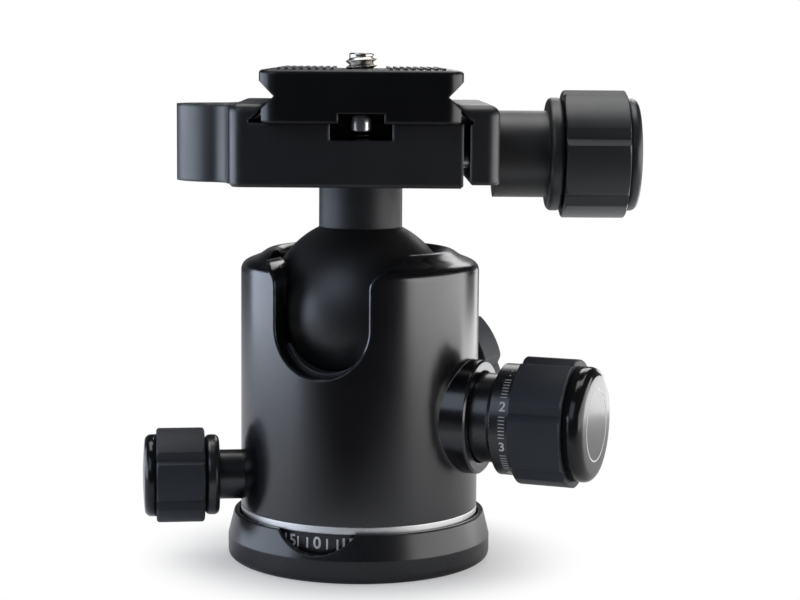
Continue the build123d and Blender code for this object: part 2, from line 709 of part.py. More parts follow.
def clamp_knob():
    where = spoke(90, CLAMP_KNOB_Z)
    neck = JAW_OUTER_X + FACE_GAP
    core_end = CLAMP_GRIP_START + CLAMP_GRIP_L - 0.2
    outline = [
        (0, neck),
        (CLAMP_NECK_R, neck),
        (CLAMP_NECK_R, CLAMP_FLANGE_START),
        (CLAMP_FLANGE_R, CLAMP_FLANGE_START),
        (CLAMP_FLANGE_R, CLAMP_GRIP_START - FIT),
        (BIG_GRIP_BORE_R, CLAMP_GRIP_START - FIT),
        (BIG_GRIP_BORE_R, core_end),
        (0, core_end),
    ]
    hub = rounded_rims(turned(outline), CLAMP_FLANGE_R, CLAMP_FLANGE_START, CLAMP_GRIP_START - FIT)
    pieces = [
        rod(CLAMP_SCREW_R, CLAMP_SCREW_TIP_X, core_end - 3.2),
        hub - screw_bore(CLAMP_SCREW_R, neck - 1, core_end - 3),
        grip(CLAMP_GRIP_R, BIG_GRIP_BORE_R, CLAMP_GRIP_START, CLAMP_GRIP_L, CLAMP_GRIP_TURN),
        cap(CLAMP_CAP_R, CLAMP_GRIP_START + CLAMP_GRIP_L + FIT, CLAMP_CAP_L, edge=1.5),
    ]
    return [where * piece for piece in pieces]


# --- ball, stem and clamp -------------------------------------------------------------------
def make_ball():
    return Pos(0, 0, BALL_Z) * Sphere(BALL_R)


def make_stem():
    body = disc(STEM_R, BALL_Z + BALL_R / 2, CLAMP_LOW_Z - FACE_GAP)
    body -= Pos(0, 0, BALL_Z) * Sphere(BALL_R + RUN)
    return body - disc(BOLT_R + RUN, BALL_Z, CLAMP_LOW_Z + 1)


def make_clamp_bolt():
    body = disc(BOLT_R, BALL_Z + BALL_R + 0.4, BOLT_SEAT_Z)
    body += disc(BOLT_HEAD_R, BOLT_SEAT_Z, BOLT_SEAT_Z + BOLT_HEAD_H)
    return body - hexagon_pocket(HEX_R, HEX_DEPTH, BOLT_SEAT_Z + BOLT_HEAD_H)


def slope_x(height, gap=JAW_GAP):
    """Half-width of the plate's lower slope at a height, plus a gap."""
    return VEE_X + (VEE_Z - height) + gap


def clamp_profile():
    """Front outline of the clamp's base with its fixed jaw on the left."""
    relief = BED_Z + JAW_RELIEF_H
    corners = [
        (CLAMP_RIGHT_X, CLAMP_LOW_Z),
        (CLAMP_RIGHT_X, BED_Z),
        (-JAW_RELIEF_X, BED_Z),
        (-JAW_RELIEF_X, relief),
        (-slope_x(relief), relief),
        (-slope_x(JAW_TOP_Z), JAW_TOP_Z),
        (CLAMP_LEFT_X, JAW_TOP_Z),
        (CLAMP_LEFT_X, CLAMP_LOW_Z),
    ]
    return make_face(Polyline(*corners, close=True))


def jaw_profile():
    relief = BED_Z + JAW_RELIEF_H
    corners = [
        (JAW_INNER_X, JAW_LOW_Z),
        (JAW_OUTER_X, JAW_LOW_Z),
        (JAW_OUTER_X, JAW_TOP_Z),
        (slope_x(JAW_TOP_Z), JAW_TOP_Z),
        (slope_x(relief), relief),
        (JAW_RELIEF_X, relief),
        (JAW_RELIEF_X, BED_Z),
        (JAW_INNER_X, BED_Z),
    ]
    return make_face(Polyline(*corners, close=True))


def along_y(profile, half_length):
    return extrude(Plane.XZ * profile, half_length, both=True)


def make_clamp_base():
    body = along_y(clamp_profile(), CLAMP_HALF_L)
    uprights = body.edges().filter_by(Axis.Z).group_by(Axis.X)[0]
    body = fillet(uprights, CLAMP_CORNER_R)
    outer_top = body.faces().filter_by(Axis.Z).sort_by(Axis.Z)[-1].edges().group_by(Axis.X)[0]
    body = fillet(outer_top, CLAMP_TOP_ROUND)
    body = chamfer(body.faces().sort_by(Axis.Z)[0].outer_wire().edges(), CLAMP_FOOT_BREAK)
    body += level_boss()
    body -= disc(LEVEL_VIAL_R + FIT, LEVEL_BOSS_TOP_Z - LEVEL_POCKET_DEPTH, JAW_TOP_Z + 5, x=LEVEL_X)
    channel_length = CLAMP_HALF_L + CHANNEL_END_Y
    body -= Pos(0, (CHANNEL_END_Y - CLAMP_HALF_L - 1) / 2, BED_Z - CHANNEL_DEPTH) * Box(
        2 * CHANNEL_HALF_W, channel_length + 1, 10, align=(Align.CENTER, Align.CENTER, Align.MIN)
    )
    body -= disc(BOLT_HEAD_R + 0.2, BOLT_SEAT_Z, BED_Z + 1)
    body -= disc(BOLT_R + FIT, CLAMP_LOW_Z - 1, BED_Z)
    across = spoke(90, CLAMP_KNOB_Z)
    low = (Align.CENTER, Align.CENTER, Align.MIN)
    body -= across * Pos(0, 0, CLAMP_SCREW_TIP_X - 0.6) * Cylinder(CLAMP_SCREW_R + RUN, 40, align=low)
    for y in (-GUIDE_Y, GUIDE_Y):
        guide = Pos(0, y, 0) * across
        body -= guide * Pos(0, 0, GUIDE_INNER_X) * Cylinder(GUIDE_R + FIT, 40, align=low)
        body -= guide * Pos(0, 0, SPRING_POCKET_X) * Cylinder(SPRING_R + 0.2, 40, align=low)
    body -= disc(PIN_FLANGE_R + 0.15, PIN_POCKET_LOW_Z, BED_Z, y=PIN_Y)
    body -= disc(PIN_SHANK_R + RUN, CLAMP_LOW_Z - 1, BED_Z, y=PIN_Y)
    body -= disc(PIN_WELL_R, CLAMP_LOW_Z - 1, PIN_SHELF_LOW_Z, y=PIN_Y)
    return body


def level_boss():
    """Round boss for the level, blended into the clamp's left side."""
    reach = LEVEL_BOSS_R + LEVEL_BOSS_FILLET
    side = CLAMP_LEFT_X + 1.0
    with BuildSketch() as outline:
        with Locations((LEVEL_X, 0)):
            Circle(LEVEL_BOSS_R)
        with Locations((side, 0)):
            Rectangle(2.0, 2 * reach, align=(Align.MAX, Align.CENTER))
        inner = [v for v in outline.vertices() if abs(v.Y) < reach - 0.1]
        fillet(inner, LEVEL_BOSS_FILLET)
    blank = Pos(0, 0, CLAMP_LOW_Z) * extrude(outline.sketch, LEVEL_BOSS_TOP_Z - CLAMP_LOW_Z)
    beyond = Pos(side, 0, CLAMP_LOW_Z - 1) * Box(
        40, 60, 40, align=(Align.MIN, Align.CENTER, Align.MIN)
    )
    return blank - beyond


def make_clamp_jaw():
    body = along_y(jaw_profile(), CLAMP_HALF_L)
    uprights = body.edges().filter_by(Axis.Z).group_by(Axis.X)[-1]
    body = fillet(uprights, CLAMP_CORNER_R)
    outer_top = body.faces().filter_by(Axis.Z).sort_by(Axis.Z)[-1].edges().group_by(Axis.X)[-1]
    body = fillet(outer_top, JAW_ROUND)
    body = chamfer(body.faces().sort_by(Axis.Z)[0].outer_wire().edges(), EDGE_BREAK)
    across = spoke(90, CLAMP_KNOB_Z)
    low = (Align.CENTER, Align.CENTER, Align.MIN)
    body -= across * Cylinder(CLAMP_SCREW_R + 0.2, 60, align=low)
    for y in (-GUIDE_Y, GUIDE_Y):
        body -= Pos(0, y, 0) * across * Cylinder(GUIDE_R + RUN, GUIDE_HOLE_END_X, align=low)
    return body


def make_jaw_guide_pins():
    across = spoke(90, CLAMP_KNOB_Z)
    low = (Align.CENTER, Align.CENTER, Align.MIN)
    pin = across * Pos(0, 0, GUIDE_INNER_X + FIT) * Cylinder(
        GUIDE_R, GUIDE_OUTER_X - GUIDE_INNER_X - FIT, align=low
    )
    return [Pos(0, y, 0) * pin for y in (-GUIDE_Y, GUIDE_Y)]


def make_jaw_springs():
    across = spoke(90, CLAMP_KNOB_Z)
    length = JAW_INNER_X - SPRING_POCKET_X - 0.1
    tube = Cylinder(SPRING_R, length) - Cylinder(GUIDE_R + 0.2, length + 1)
    tube = across * Pos(0, 0, SPRING_POCKET_X + 0.05 + length / 2) * tube
    return [Pos(0, y, 0) * tube for y in (-GUIDE_Y, GUIDE_Y)]


def level_floor_z():
    return LEVEL_BOSS_TOP_Z - LEVEL_POCKET_DEPTH


def make_level_vial():
    top = LEVEL_BOSS_TOP_Z + 0.1
    body = disc(LEVEL_VIAL_R, level_floor_z(), top)
    body = fillet(body.edges().group_by(Axis.Z)[-1], 0.5)
    return body - disc(LEVEL_VIAL_R - LEVEL_WALL, level_floor_z() + LEVEL_WALL, top - LEVEL_WALL, x=0)


def make_level_liquid():
    top = LEVEL_BOSS_TOP_Z + 0.1
    return disc(LEVEL_VIAL_R - LEVEL_WALL - FIT, level_floor_z() + LEVEL_WALL + FIT, top - LEVEL_WALL - FIT)


def make_safety_pin():
    outline = [
        (0, PIN_SHELF_LOW_Z - 2 * PIN_CLIP_T),
        (PIN_SHANK_R, PIN_SHELF_LOW_Z - 2 * PIN_CLIP_T),
        (PIN_SHANK_R, PIN_FLANGE_Z),
        (PIN_FLANGE_R, PIN_FLANGE_Z),
        (PIN_FLANGE_R, PIN_SHOULDER_Z - 0.2),
        (PIN_FLANGE_R - 0.2, PIN_SHOULDER_Z),
        (PIN_R, PIN_SHOULDER_Z),
        (PIN_R, PIN_TOP_Z - 0.3),
        (PIN_R - 0.3, PIN_TOP_Z),
        (0, PIN_TOP_Z),
    ]
    return Pos(0, PIN_Y, 0) * turned(outline)


def make_safety_pin_clip():
    top = PIN_SHELF_LOW_Z - 0.05
    return Pos(0, PIN_Y, 0) * ring(PIN_CLIP_R, PIN_SHANK_R + FIT, top - PIN_CLIP_T, top)


def make_safety_pin_spring():
    low = PIN_POCKET_LOW_Z + FACE_GAP
    return Pos(0, PIN_Y, 0) * ring(PIN_SPRING_R, PIN_SHANK_R + 0.2, low, PIN_FLANGE_Z - FACE_GAP)


# --- camera plate ---------------------------------------------------------------------------
def plate_profile():
    """Front outline of the plate: dovetail below, 45 degree side grooves, flange above."""
    dovetail_z = VEE_Z - (DOVETAIL_HALF_W - VEE_X)
    flange_z = VEE_Z + (PLATE_HALF_W - VEE_X)
    right = [
        (DOVETAIL_HALF_W, PLATE_LOW_Z),
        (DOVETAIL_HALF_W, dovetail_z),
        (VEE_X, VEE_Z),
        (PLATE_HALF_W, flange_z),
        (PLATE_HALF_W, PLATE_TOP_Z),
    ]
    left = [(-x, z) for x, z in reversed(right)]
    return make_face(Polyline(*right, *left, close=True))


def make_camera_plate():
    body = along_y(plate_profile(), PLATE_HALF_L)
    plan = Pos(0, 0, PLATE_LOW_Z - 1) * extrude(
        RectangleRounded(2 * PLATE_HALF_W, 2 * PLATE_HALF_L, PLATE_CORNER_R), PLATE_H + 2
    )
    body = body & plan
    body = fillet(body.faces().sort_by(Axis.Z)[-1].outer_wire().edges(), PLATE_TOP_ROUND)
    body = chamfer(body.faces().sort_by(Axis.Z)[0].outer_wire().edges(), EDGE_BREAK)
    channel_length = PLATE_HALF_L + PLATE_CHANNEL_END_Y
    body -= Pos(0, (PLATE_CHANNEL_END_Y - PLATE_HALF_L - 1) / 2, PLATE_LOW_Z - 1) * Box(
        2 * PLATE_CHANNEL_HALF_W,
        channel_length + 1,
        PLATE_CHANNEL_DEPTH + 1,
        align=(Align.CENTER, Align.CENTER, Align.MIN),
    )
    body -= disc(CAMERA_POCKET_R, PLATE_LOW_Z - 1, camera_pocket_top_z())
    clip_top = camera_clip_top_z() + FIT
    clip_low = camera_clip_top_z() - CAMERA_CLIP_T - FIT
    body -= disc(CAMERA_POCKET_R + CAMERA_CLIP_GRIP + FIT, clip_low, clip_top)
    body -= disc(CAMERA_SCREW_R + 0.25, PLATE_LOW_Z, PLATE_TOP_Z + 1)
    for side in (-1, 1):
        body -= pad_space(side, FIT)
    return body


def pad_space(side, gap):
    """Recess of a grip pad in the plate's top."""
    width = PAD_OUTER_X - PAD_INNER_X + 2 * gap
    middle = side * (PAD_OUTER_X + PAD_INNER_X) / 2
    floor = PLATE_TOP_Z - PAD_T + PAD_PROUD
    return Pos(middle, 0, floor - gap) * extrude(
        RectangleRounded(width, 2 * (PAD_HALF_L + gap), 1.5), PAD_T + 2
    )


def make_grip_pads():
    pads = []
    width = PAD_OUTER_X - PAD_INNER_X
    count = int(width / RIB_PITCH)
    for side in (-1, 1):
        middle = side * (PAD_OUTER_X + PAD_INNER_X) / 2
        pad = Pos(middle, 0, PLATE_TOP_Z - PAD_T + PAD_PROUD) * extrude(
            RectangleRounded(width, 2 * PAD_HALF_L, 1.5), PAD_T
        )
        for i in range(count):
            x = middle + (i - (count - 1) / 2) * RIB_PITCH
            pad += Pos(x, 0, PLATE_TOP_Z + PAD_PROUD) * Box(
                RIB_W, 2 * PAD_HALF_L - 3, RIB_H, align=(Align.CENTER, Align.CENTER, Align.MIN)
            )
        pads.append(pad)
    return pads


def camera_clip_top_z():
    return PLATE_LOW_Z + CAMERA_CLIP_LOW + CAMERA_CLIP_T


def camera_head_low_z():
    return camera_clip_top_z() + FACE_GAP


def camera_washer_low_z():
    return camera_head_low_z() + CAMERA_HEAD_H + FACE_GAP / 2


def camera_pocket_top_z():
    return camera_washer_low_z() + CAMERA_WASHER_T + CAMERA_SCREW_TRAVEL + FACE_GAP


def make_camera_screw():
    low = camera_head_low_z()
    head_top = low + CAMERA_HEAD_H
    head = disc(CAMERA_HEAD_R, low, head_top)
    head = chamfer(head.edges().filter_by(GeomType.CIRCLE), 0.4)
    neck = disc(CAMERA_NECK_R, head_top - 1, PLATE_TOP_Z + 0.5)
    shank = disc(CAMERA_SCREW_R, PLATE_TOP_Z, PLATE_TOP_Z + CAMERA_SCREW_PROUD)
    shank = chamfer(shank.edges().filter_by(GeomType.CIRCLE).group_by(Axis.Z)[-1], 0.6)
    slot = Pos(0, 0, low - 1) * Box(1.6, 30, 2.2, align=(Align.CENTER, Align.CENTER, Align.MIN))
    return head + neck + shank - slot


def make_camera_screw_washer():
    low = camera_washer_low_z()
    return ring(CAMERA_WASHER_R, CAMERA_SCREW_R + RUN, low, low + CAMERA_WASHER_T)


def make_camera_screw_clip():
    top = camera_clip_top_z()
    return ring(CAMERA_POCKET_R + CAMERA_CLIP_GRIP, CAMERA_CLIP_BORE_R, top - CAMERA_CLIP_T, top)


# --- all pieces -----------------------------------------------------------------------------
lock_parts = big_knob(
    LOCK_AZIMUTH, LOCK_Z, LOCK_SCREW_R, LOCK_GRIP_START - 5.5, LOCK_GRIP_START - 4.25, LOCK_GRIP_START, 0
)
friction_parts = big_knob(
    FRICTION_AZIMUTH,
    FRICTION_Z,
    FRICTION_SCREW_R,
    FRICTION_NECK_END,
    FRICTION_COLLAR_START,
    FRICTION_GRIP_START,
    FRICTION_GRIP_TURN,
)
pan_parts = pan_knob()
clamp_parts = clamp_knob()

pieces = {
    "base_shell": make_base_shell(),
    "base_hub": make_base_hub(),
    "tripod_bush": make_tripod_bush(),
    "hub_screws": make_hub_screws(),
    "retaining_ring": make_retaining_ring(),
    "retaining_screws": make_retaining_screws(),
    "lower_glide_washer": make_lower_glide_washer(),
    "upper_glide_washer": make_upper_glide_washer(),
    "ball_housing": make_ball_housing(),
    "bright_end_ring": make_bright_end_ring(),
    "degree_ring": make_degree_ring(),
    "upper_ball_seat": make_upper_ball_seat(),
    "mechanism_plate": make_mechanism_plate(),
    "lock_thread_bush": knob_bush(LOCK_AZIMUTH, LOCK_Z, LOCK_SCREW_R),
    "friction_thread_bush": knob_bush(FRICTION_AZIMUTH, FRICTION_Z, FRICTION_SCREW_R),
    "pan_thread_bush": make_pan_thread_bush(),
    "ball_cup": make_ball_cup(),
    "lock_wedge": make_wedge(LOCK_AZIMUTH),
    "friction_wedge": make_wedge(FRICTION_AZIMUTH),
    "pan_brake_shoe": make_pan_brake_shoe(),
    "lock_screw": lock_parts[0],
    "lock_knob_hub": lock_parts[1],
    "lock_knob_grip": lock_parts[2],
    "lock_knob_cap": lock_parts[3],
    "friction_screw": friction_parts[0],
    "friction_dial": friction_parts[1],
    "friction_knob_grip": friction_parts[2],
    "friction_knob_cap": friction_parts[3],
    "pan_screw": pan_parts[0],
    "pan_knob_hub": pan_parts[1],
    "pan_knob_grip": pan_parts[2],
    "pan_knob_cap": pan_parts[3],
    "clamp_screw": clamp_parts[0],
    "clamp_knob_hub": clamp_parts[1],
    "clamp_knob_grip": clamp_parts[2],
    "clamp_knob_cap": clamp_parts[3],
    "ball": make_ball(),
    "stem": make_stem(),
    "clamp_bolt": make_clamp_bolt(),
    "clamp_base": make_clamp_base(),
    "clamp_jaw": make_clamp_jaw(),
    "jaw_guide_pins": make_jaw_guide_pins(),
    "jaw_springs": make_jaw_springs(),
    "level_vial": Pos(LEVEL_X, 0, 0) * make_level_vial(),
    "level_liquid": Pos(LEVEL_X, 0, 0) * make_level_liquid(),
    "safety_pin": make_safety_pin(),
    "safety_pin_clip": make_safety_pin_clip(),
    "safety_pin_spring": make_safety_pin_spring(),
    "camera_plate": make_camera_plate(),
    "grip_pads": make_grip_pads(),
    "camera_screw": make_camera_screw(),
    "camera_screw_washer": make_camera_screw_washer(),
    "camera_screw_clip": make_camera_screw_clip(),
}

os.makedirs("parts", exist_ok=True)
for name, shape in pieces.items():
    solids = shape if isinstance(shape, list) else [shape]
    solids = [solid for item in solids for solid in item.solids()]
    export_step(Compound(solids) if len(solids) > 1 else solids[0], f"parts/{name}.step")
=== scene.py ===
# %% [markdown]
# # A tripod ball head
# A ball head joins a camera to a tripod. A ball sits in a round housing, a clamp on its stem holds
# the camera's plate, and four knobs lock the ball, set its drag, lock the panning base and close
# the clamp. The solid pieces come ready made as the frame. This lesson lights them, gives each its
# finish, and adds what is too fine for the solids: screw threads, springs, engraved numbers and the
# spirit level.
#
# The frame is loaded first, because everything that follows is placed by it.

# %% Load the frame
from math import copysign, cos, pi, radians, sin

import bmesh
import bpy
from mathutils import Matrix, Vector


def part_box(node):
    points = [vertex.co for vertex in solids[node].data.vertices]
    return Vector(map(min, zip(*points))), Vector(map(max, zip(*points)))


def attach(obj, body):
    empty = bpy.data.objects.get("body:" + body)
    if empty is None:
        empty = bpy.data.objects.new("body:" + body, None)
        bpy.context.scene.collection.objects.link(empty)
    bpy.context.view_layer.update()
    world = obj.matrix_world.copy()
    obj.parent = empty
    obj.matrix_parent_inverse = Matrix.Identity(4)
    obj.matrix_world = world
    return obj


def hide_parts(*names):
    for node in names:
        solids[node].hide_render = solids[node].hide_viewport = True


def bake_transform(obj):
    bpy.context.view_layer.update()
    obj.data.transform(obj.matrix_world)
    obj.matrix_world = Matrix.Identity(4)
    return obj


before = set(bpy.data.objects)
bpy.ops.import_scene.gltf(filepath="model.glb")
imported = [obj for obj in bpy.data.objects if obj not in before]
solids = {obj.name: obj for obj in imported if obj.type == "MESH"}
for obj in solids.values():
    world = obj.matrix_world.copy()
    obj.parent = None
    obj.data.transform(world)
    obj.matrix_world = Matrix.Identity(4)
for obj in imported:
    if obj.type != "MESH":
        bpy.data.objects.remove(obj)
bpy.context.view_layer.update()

MM = 0.001


def in_mm(corners):
    """Corners of a box, rounded for printing."""
    return [[round(v / MM, 1) for v in corner] for corner in corners]


# %% [markdown]
# ## The camera
# A product picture is taken with a long lens from a little above, so that verticals stay straight
# and the top faces just show. The camera is aimed by its yaw, its pitch and a very slight roll. Its
# three axes are worked out from those angles, and they become the columns of its matrix.

# %% Camera
LENS = 93.24
SENSOR_WIDTH = 36
CAMERA_PLACE = Vector((0.0, -422.6, 103.5)) * MM
YAW, PITCH, ROLL = radians(1.11), radians(6.79), radians(0.48)

forward = Vector((sin(YAW) * cos(PITCH), cos(YAW) * cos(PITCH), -sin(PITCH)))
level_right = Vector((cos(YAW), -sin(YAW), 0))
level_up = level_right.cross(forward)
camera_right = cos(ROLL) * level_right + sin(ROLL) * level_up
camera_up = cos(ROLL) * level_up - sin(ROLL) * level_right
axes = Matrix((camera_right, camera_up, -forward)).transposed().to_4x4()

camera_data = bpy.data.cameras.new("camera")
camera_data.sensor_width = SENSOR_WIDTH
camera_data.lens = LENS
camera = bpy.data.objects.new("camera", camera_data)
camera.matrix_world = Matrix.Translation(CAMERA_PLACE) @ axes
bpy.context.scene.collection.objects.link(camera)
bpy.context.scene.camera = camera
print("camera at", [round(v, 3) for v in camera.location])

# %% [markdown]
# ## Studio light
# Black metal shows only what it mirrors. A large softbox stands at each side, and reaches from well
# in front of the object to just behind it. Each draws a long soft stripe down the round housing and
# leaves the middle dark. They are low, so that the rounded shoulder stays black. One is slightly
# cool and one slightly warm, which tells the two sides apart. A third, higher up in front, puts the
# round highlight on the ball. Two small ones behind on the right light the knob's end and draw a
# rim, and two more behind and overhead lift the back and the top faces.
#
# An area lamp's power is spread over its face. It is worked out here from how bright the face
# looks, so that a lamp can be made wider and stays as bright as it was.

# %% Softboxes
LAMP_TARGET = Vector((0, 0, 0.055))


def softbox(name, azimuth, height, distance, size, radiance, colour):
    """Area lamp round the object, aimed at its middle. Azimuth 0 is behind the camera."""
    turn = radians(azimuth)
    place = Vector((distance * sin(turn), -distance * cos(turn), height))
    lamp = bpy.data.lights.new(name, "AREA")
    lamp.shape = "RECTANGLE"
    lamp.size, lamp.size_y = size
    lamp.energy = radiance * pi * size[0] * size[1]
    lamp.color = colour
    obj = bpy.data.objects.new(name, lamp)
    obj.location = place
    obj.rotation_euler = (LAMP_TARGET - place).to_track_quat("-Z", "Y").to_euler()
    obj.visible_camera = False
    bpy.context.scene.collection.objects.link(obj)
    print(name, "at", round(azimuth), "degrees")


COOL, WARM, NEUTRAL = (0.74, 0.83, 1.0), (1.0, 0.985, 0.975), (1, 1, 1)
softbox("left_softbox", -91, 0.075, 0.35, (0.47, 0.17), 3.2, COOL)
softbox("right_softbox", 82, 0.075, 0.35, (0.55, 0.17), 2.7, WARM)
softbox("ball_softbox", -36, 0.28, 0.35, (0.28, 0.24), 1.10, COOL)
softbox("cap_softbox", 125, 0.008, 0.21, (0.11, 0.034), 2.1, NEUTRAL)
softbox("right_rim", 147, 0.03, 0.30, (0.06, 0.09), 2.2, NEUTRAL)
softbox("back_softbox", 163, 0.20, 0.25, (0.13, 0.12), 2.6, NEUTRAL)
softbox("top_softbox", 180, 0.50, 0.10, (0.50, 0.30), 2.6, NEUTRAL)

# %% [markdown]
# ## Building with nodes
# The world, the floor and every finish are networks of nodes. One helper adds a node, changes its
# settings, and then fills its inputs, with a plain value or with a link from an earlier node. Two
# more make the kinds that are used most: a piece of arithmetic, and a step with soft ends.

# %% Node helpers
def node(tree, kind, *inputs, **values):
    """Adds a node. Inputs, in order or by name, take a value or an output of another node."""
    made = tree.nodes.new(kind)
    settings = {name: value for name, value in values.items() if hasattr(made, name)}
    for name, value in settings.items():
        setattr(made, name, value)
    filled = list(zip(made.inputs, inputs))
    for name, value in values.items():
        if name not in settings:
            filled.append((made.inputs[name.replace("_", " ")], value))
    for socket, value in filled:
        if isinstance(value, bpy.types.NodeSocket):
            tree.links.new(value, socket)
        else:
            socket.default_value = value
    return made


def maths(tree, operation, *inputs):
    """Math node. Returns its result."""
    return node(tree, "ShaderNodeMath", *inputs, operation=operation).outputs[0]


def soft_step(tree, value, span, result=(0, 1)):
    """Turns smoothly from one result to the other while the value crosses a span."""
    step = node(tree, "ShaderNodeMapRange", value, *span, *result, interpolation_type="SMOOTHSTEP")
    return step.outputs["Result"]


print("node helpers: node, maths, soft_step")

# %% [markdown]
# ## Background
# The backdrop is white paper behind the object, and the room on the camera's side is dark. What the
# camera sees directly is plain white all round. Metal mirrors the paper only dimly and only low
# down, so that the dark room makes black metal look black, while clear acrylic passes the paper on
# in full. Light Path tells these rays apart, and the direction of a ray, read from the world's own
# coordinates, divides paper from room.

# %% World
PAPER_BEHIND = (0.70, 0.98)       # how far back a ray points where the paper starts, and is full
PAPER_HEIGHT = (0.12, 0.34)       # how far up it points where the paper starts to end, and ends
PAPER_IN_MIRROR = 0.15            # share of the paper's light that metal mirrors
ROOM_COLOUR, ROOM_LIGHT = (0.75, 0.82, 1, 1), 0.032

scene = bpy.context.scene
scene.view_settings.view_transform = "Standard"
world = bpy.data.worlds.new("studio")
scene.world = world
world.use_nodes = True
tree = world.node_tree
tree.nodes.clear()

path = node(tree, "ShaderNodeLightPath").outputs
direction = node(tree, "ShaderNodeTexCoord").outputs["Generated"]
ray = node(tree, "ShaderNodeSeparateXYZ", direction).outputs
behind = soft_step(tree, ray["Y"], PAPER_BEHIND)
low_down = soft_step(tree, ray["Z"], PAPER_HEIGHT, (1, 0))
backdrop = maths(tree, "MULTIPLY", behind, low_down)
dimmed = maths(tree, "MULTIPLY", path["Is Glossy Ray"], PAPER_IN_MIRROR)
mirrored = maths(tree, "MAXIMUM", dimmed, path["Is Transmission Ray"])
on_paper = maths(tree, "MULTIPLY", mirrored, backdrop)
seen = maths(tree, "MAXIMUM", path["Is Camera Ray"], on_paper)
room = node(tree, "ShaderNodeBackground", Color=ROOM_COLOUR, Strength=ROOM_LIGHT)
paper = node(tree, "ShaderNodeBackground", Color=(1, 1, 1, 1), Strength=1.0)
choice = node(tree, "ShaderNodeMixShader", seen, room.outputs[0], paper.outputs[0])
node(tree, "ShaderNodeOutputWorld", Surface=choice.outputs[0])
print("world:", world.name)

# %% [markdown]
# ## The floor
# The floor is a wide white disc. Near the object it is partly ordinary paper, which takes the soft
# shadow under the base. Farther out it blends into plain white, so that no horizon shows.

# %% Floor as the camera sees it
SHADOW_REACH = (0.024, 0.048)     # where the paper starts to turn plain white, and where it is
SHADOW_SHARE = 0.62               # how much of its own white the paper has nearest the object
PAPER_COLOUR = (0.94, 0.94, 0.94, 1)


def blank_material(name):
    """Material with an empty tree and its output."""
    made = bpy.data.materials.new(name)
    made.use_nodes = True
    made.node_tree.nodes.clear()
    return made, made.node_tree, node(made.node_tree, "ShaderNodeOutputMaterial")


floor_paper, tree, out = blank_material("floor_paper")
place = node(tree, "ShaderNodeTexCoord").outputs["Object"]
reach = node(tree, "ShaderNodeVectorMath", place, operation="LENGTH").outputs["Value"]
path = node(tree, "ShaderNodeLightPath").outputs
matt = node(tree, "ShaderNodeBsdfDiffuse", Color=PAPER_COLOUR).outputs[0]
white = node(tree, "ShaderNodeEmission", Strength=1.0).outputs[0]
fade = soft_step(tree, reach, SHADOW_REACH, (1 - SHADOW_SHARE, 1))
plain = maths(tree, "MULTIPLY", fade, path["Is Camera Ray"])
seen_floor = node(tree, "ShaderNodeMixShader", plain, matt, white).outputs[0]
print("floor turns white from", SHADOW_REACH[0] / MM, "to", SHADOW_REACH[1] / MM, "mm")

# %% [markdown]
# In what metal mirrors, a wedge of the floor in front of the object is painted dark, as if a black
# card lay there. This painted dark reflection keeps the middle of the housing black, and its
# slanting sides soften the edges of the two stripes. The painted card ends a little way in front of
# the foot, where the paper lightens the lowest part of the metal. A real card would do the same,
# but it would show in the picture.

# %% Floor as metal mirrors it
DARK_MIDDLE = -0.02               # along X, the middle of the dark wedge
DARK_SLOPE = 0.8                  # how fast the wedge closes towards the object
WEDGE_EDGE = (-0.15, 0.05)        # across the wedge's side, where the dark fades into the paper
DARK_REFLECTION_START = (0.07, 0.10)         # how far from the middle the card starts to show, and shows fully
DARK_REFLECTION_COLOUR = (0.03, 0.03, 0.03, 1)

# painted dark reflection: black that only mirror rays see on the floor, where no card lies
black = node(tree, "ShaderNodeEmission", Color=DARK_REFLECTION_COLOUR, Strength=1.0).outputs[0]
spot = node(tree, "ShaderNodeSeparateXYZ", place).outputs
aside = maths(tree, "ABSOLUTE", maths(tree, "SUBTRACT", spot["X"], DARK_MIDDLE))
wedge = maths(tree, "MULTIPLY_ADD", aside, DARK_SLOPE, spot["Y"])
beside = soft_step(tree, wedge, WEDGE_EDGE)
near = soft_step(tree, reach, DARK_REFLECTION_START, (1, 0))
open_paper = maths(tree, "MAXIMUM", beside, near)
mirrored_floor = node(tree, "ShaderNodeMixShader", open_paper, black, matt).outputs[0]
mirrored = maths(tree, "MAXIMUM", path["Is Glossy Ray"], path["Is Transmission Ray"])
choice = node(tree, "ShaderNodeMixShader", mirrored, seen_floor, mirrored_floor)
tree.links.new(choice.outputs[0], out.inputs["Surface"])
print("material:", floor_paper.name)

# %% [markdown]
# The disc is one flat face, far wider than the view, so that its rim is never seen.

# %% Floor disc
FLOOR_RADIUS = 4.0
FLOOR_SIDES = 96


def mesh_object(name, mesh_bm, material):
    """Turns a finished bmesh into an object at the origin."""
    mesh = bpy.data.meshes.new(name)
    mesh_bm.to_mesh(mesh)
    mesh_bm.free()
    obj = bpy.data.objects.new(name, mesh)
    scene.collection.objects.link(obj)
    mesh.materials.append(material)
    return obj


bm = bmesh.new()
bmesh.ops.create_circle(bm, cap_ends=True, radius=FLOOR_RADIUS, segments=FLOOR_SIDES)
floor = mesh_object("floor", bm, floor_paper)
print("floor radius:", FLOOR_RADIUS)

# %% [markdown]
# ## Shared effects
# Several finishes have something in common: a fine grain, the marks that a lathe leaves, a slight
# unevenness where hands have been, and edges where the black has rubbed thin. Each effect is built
# once as a node group with named inputs, and every finish uses it with its own values.

# %% Node group helper
FLOAT, VECTOR = "NodeSocketFloat", "NodeSocketVector"
BEVEL_SAMPLES = 6


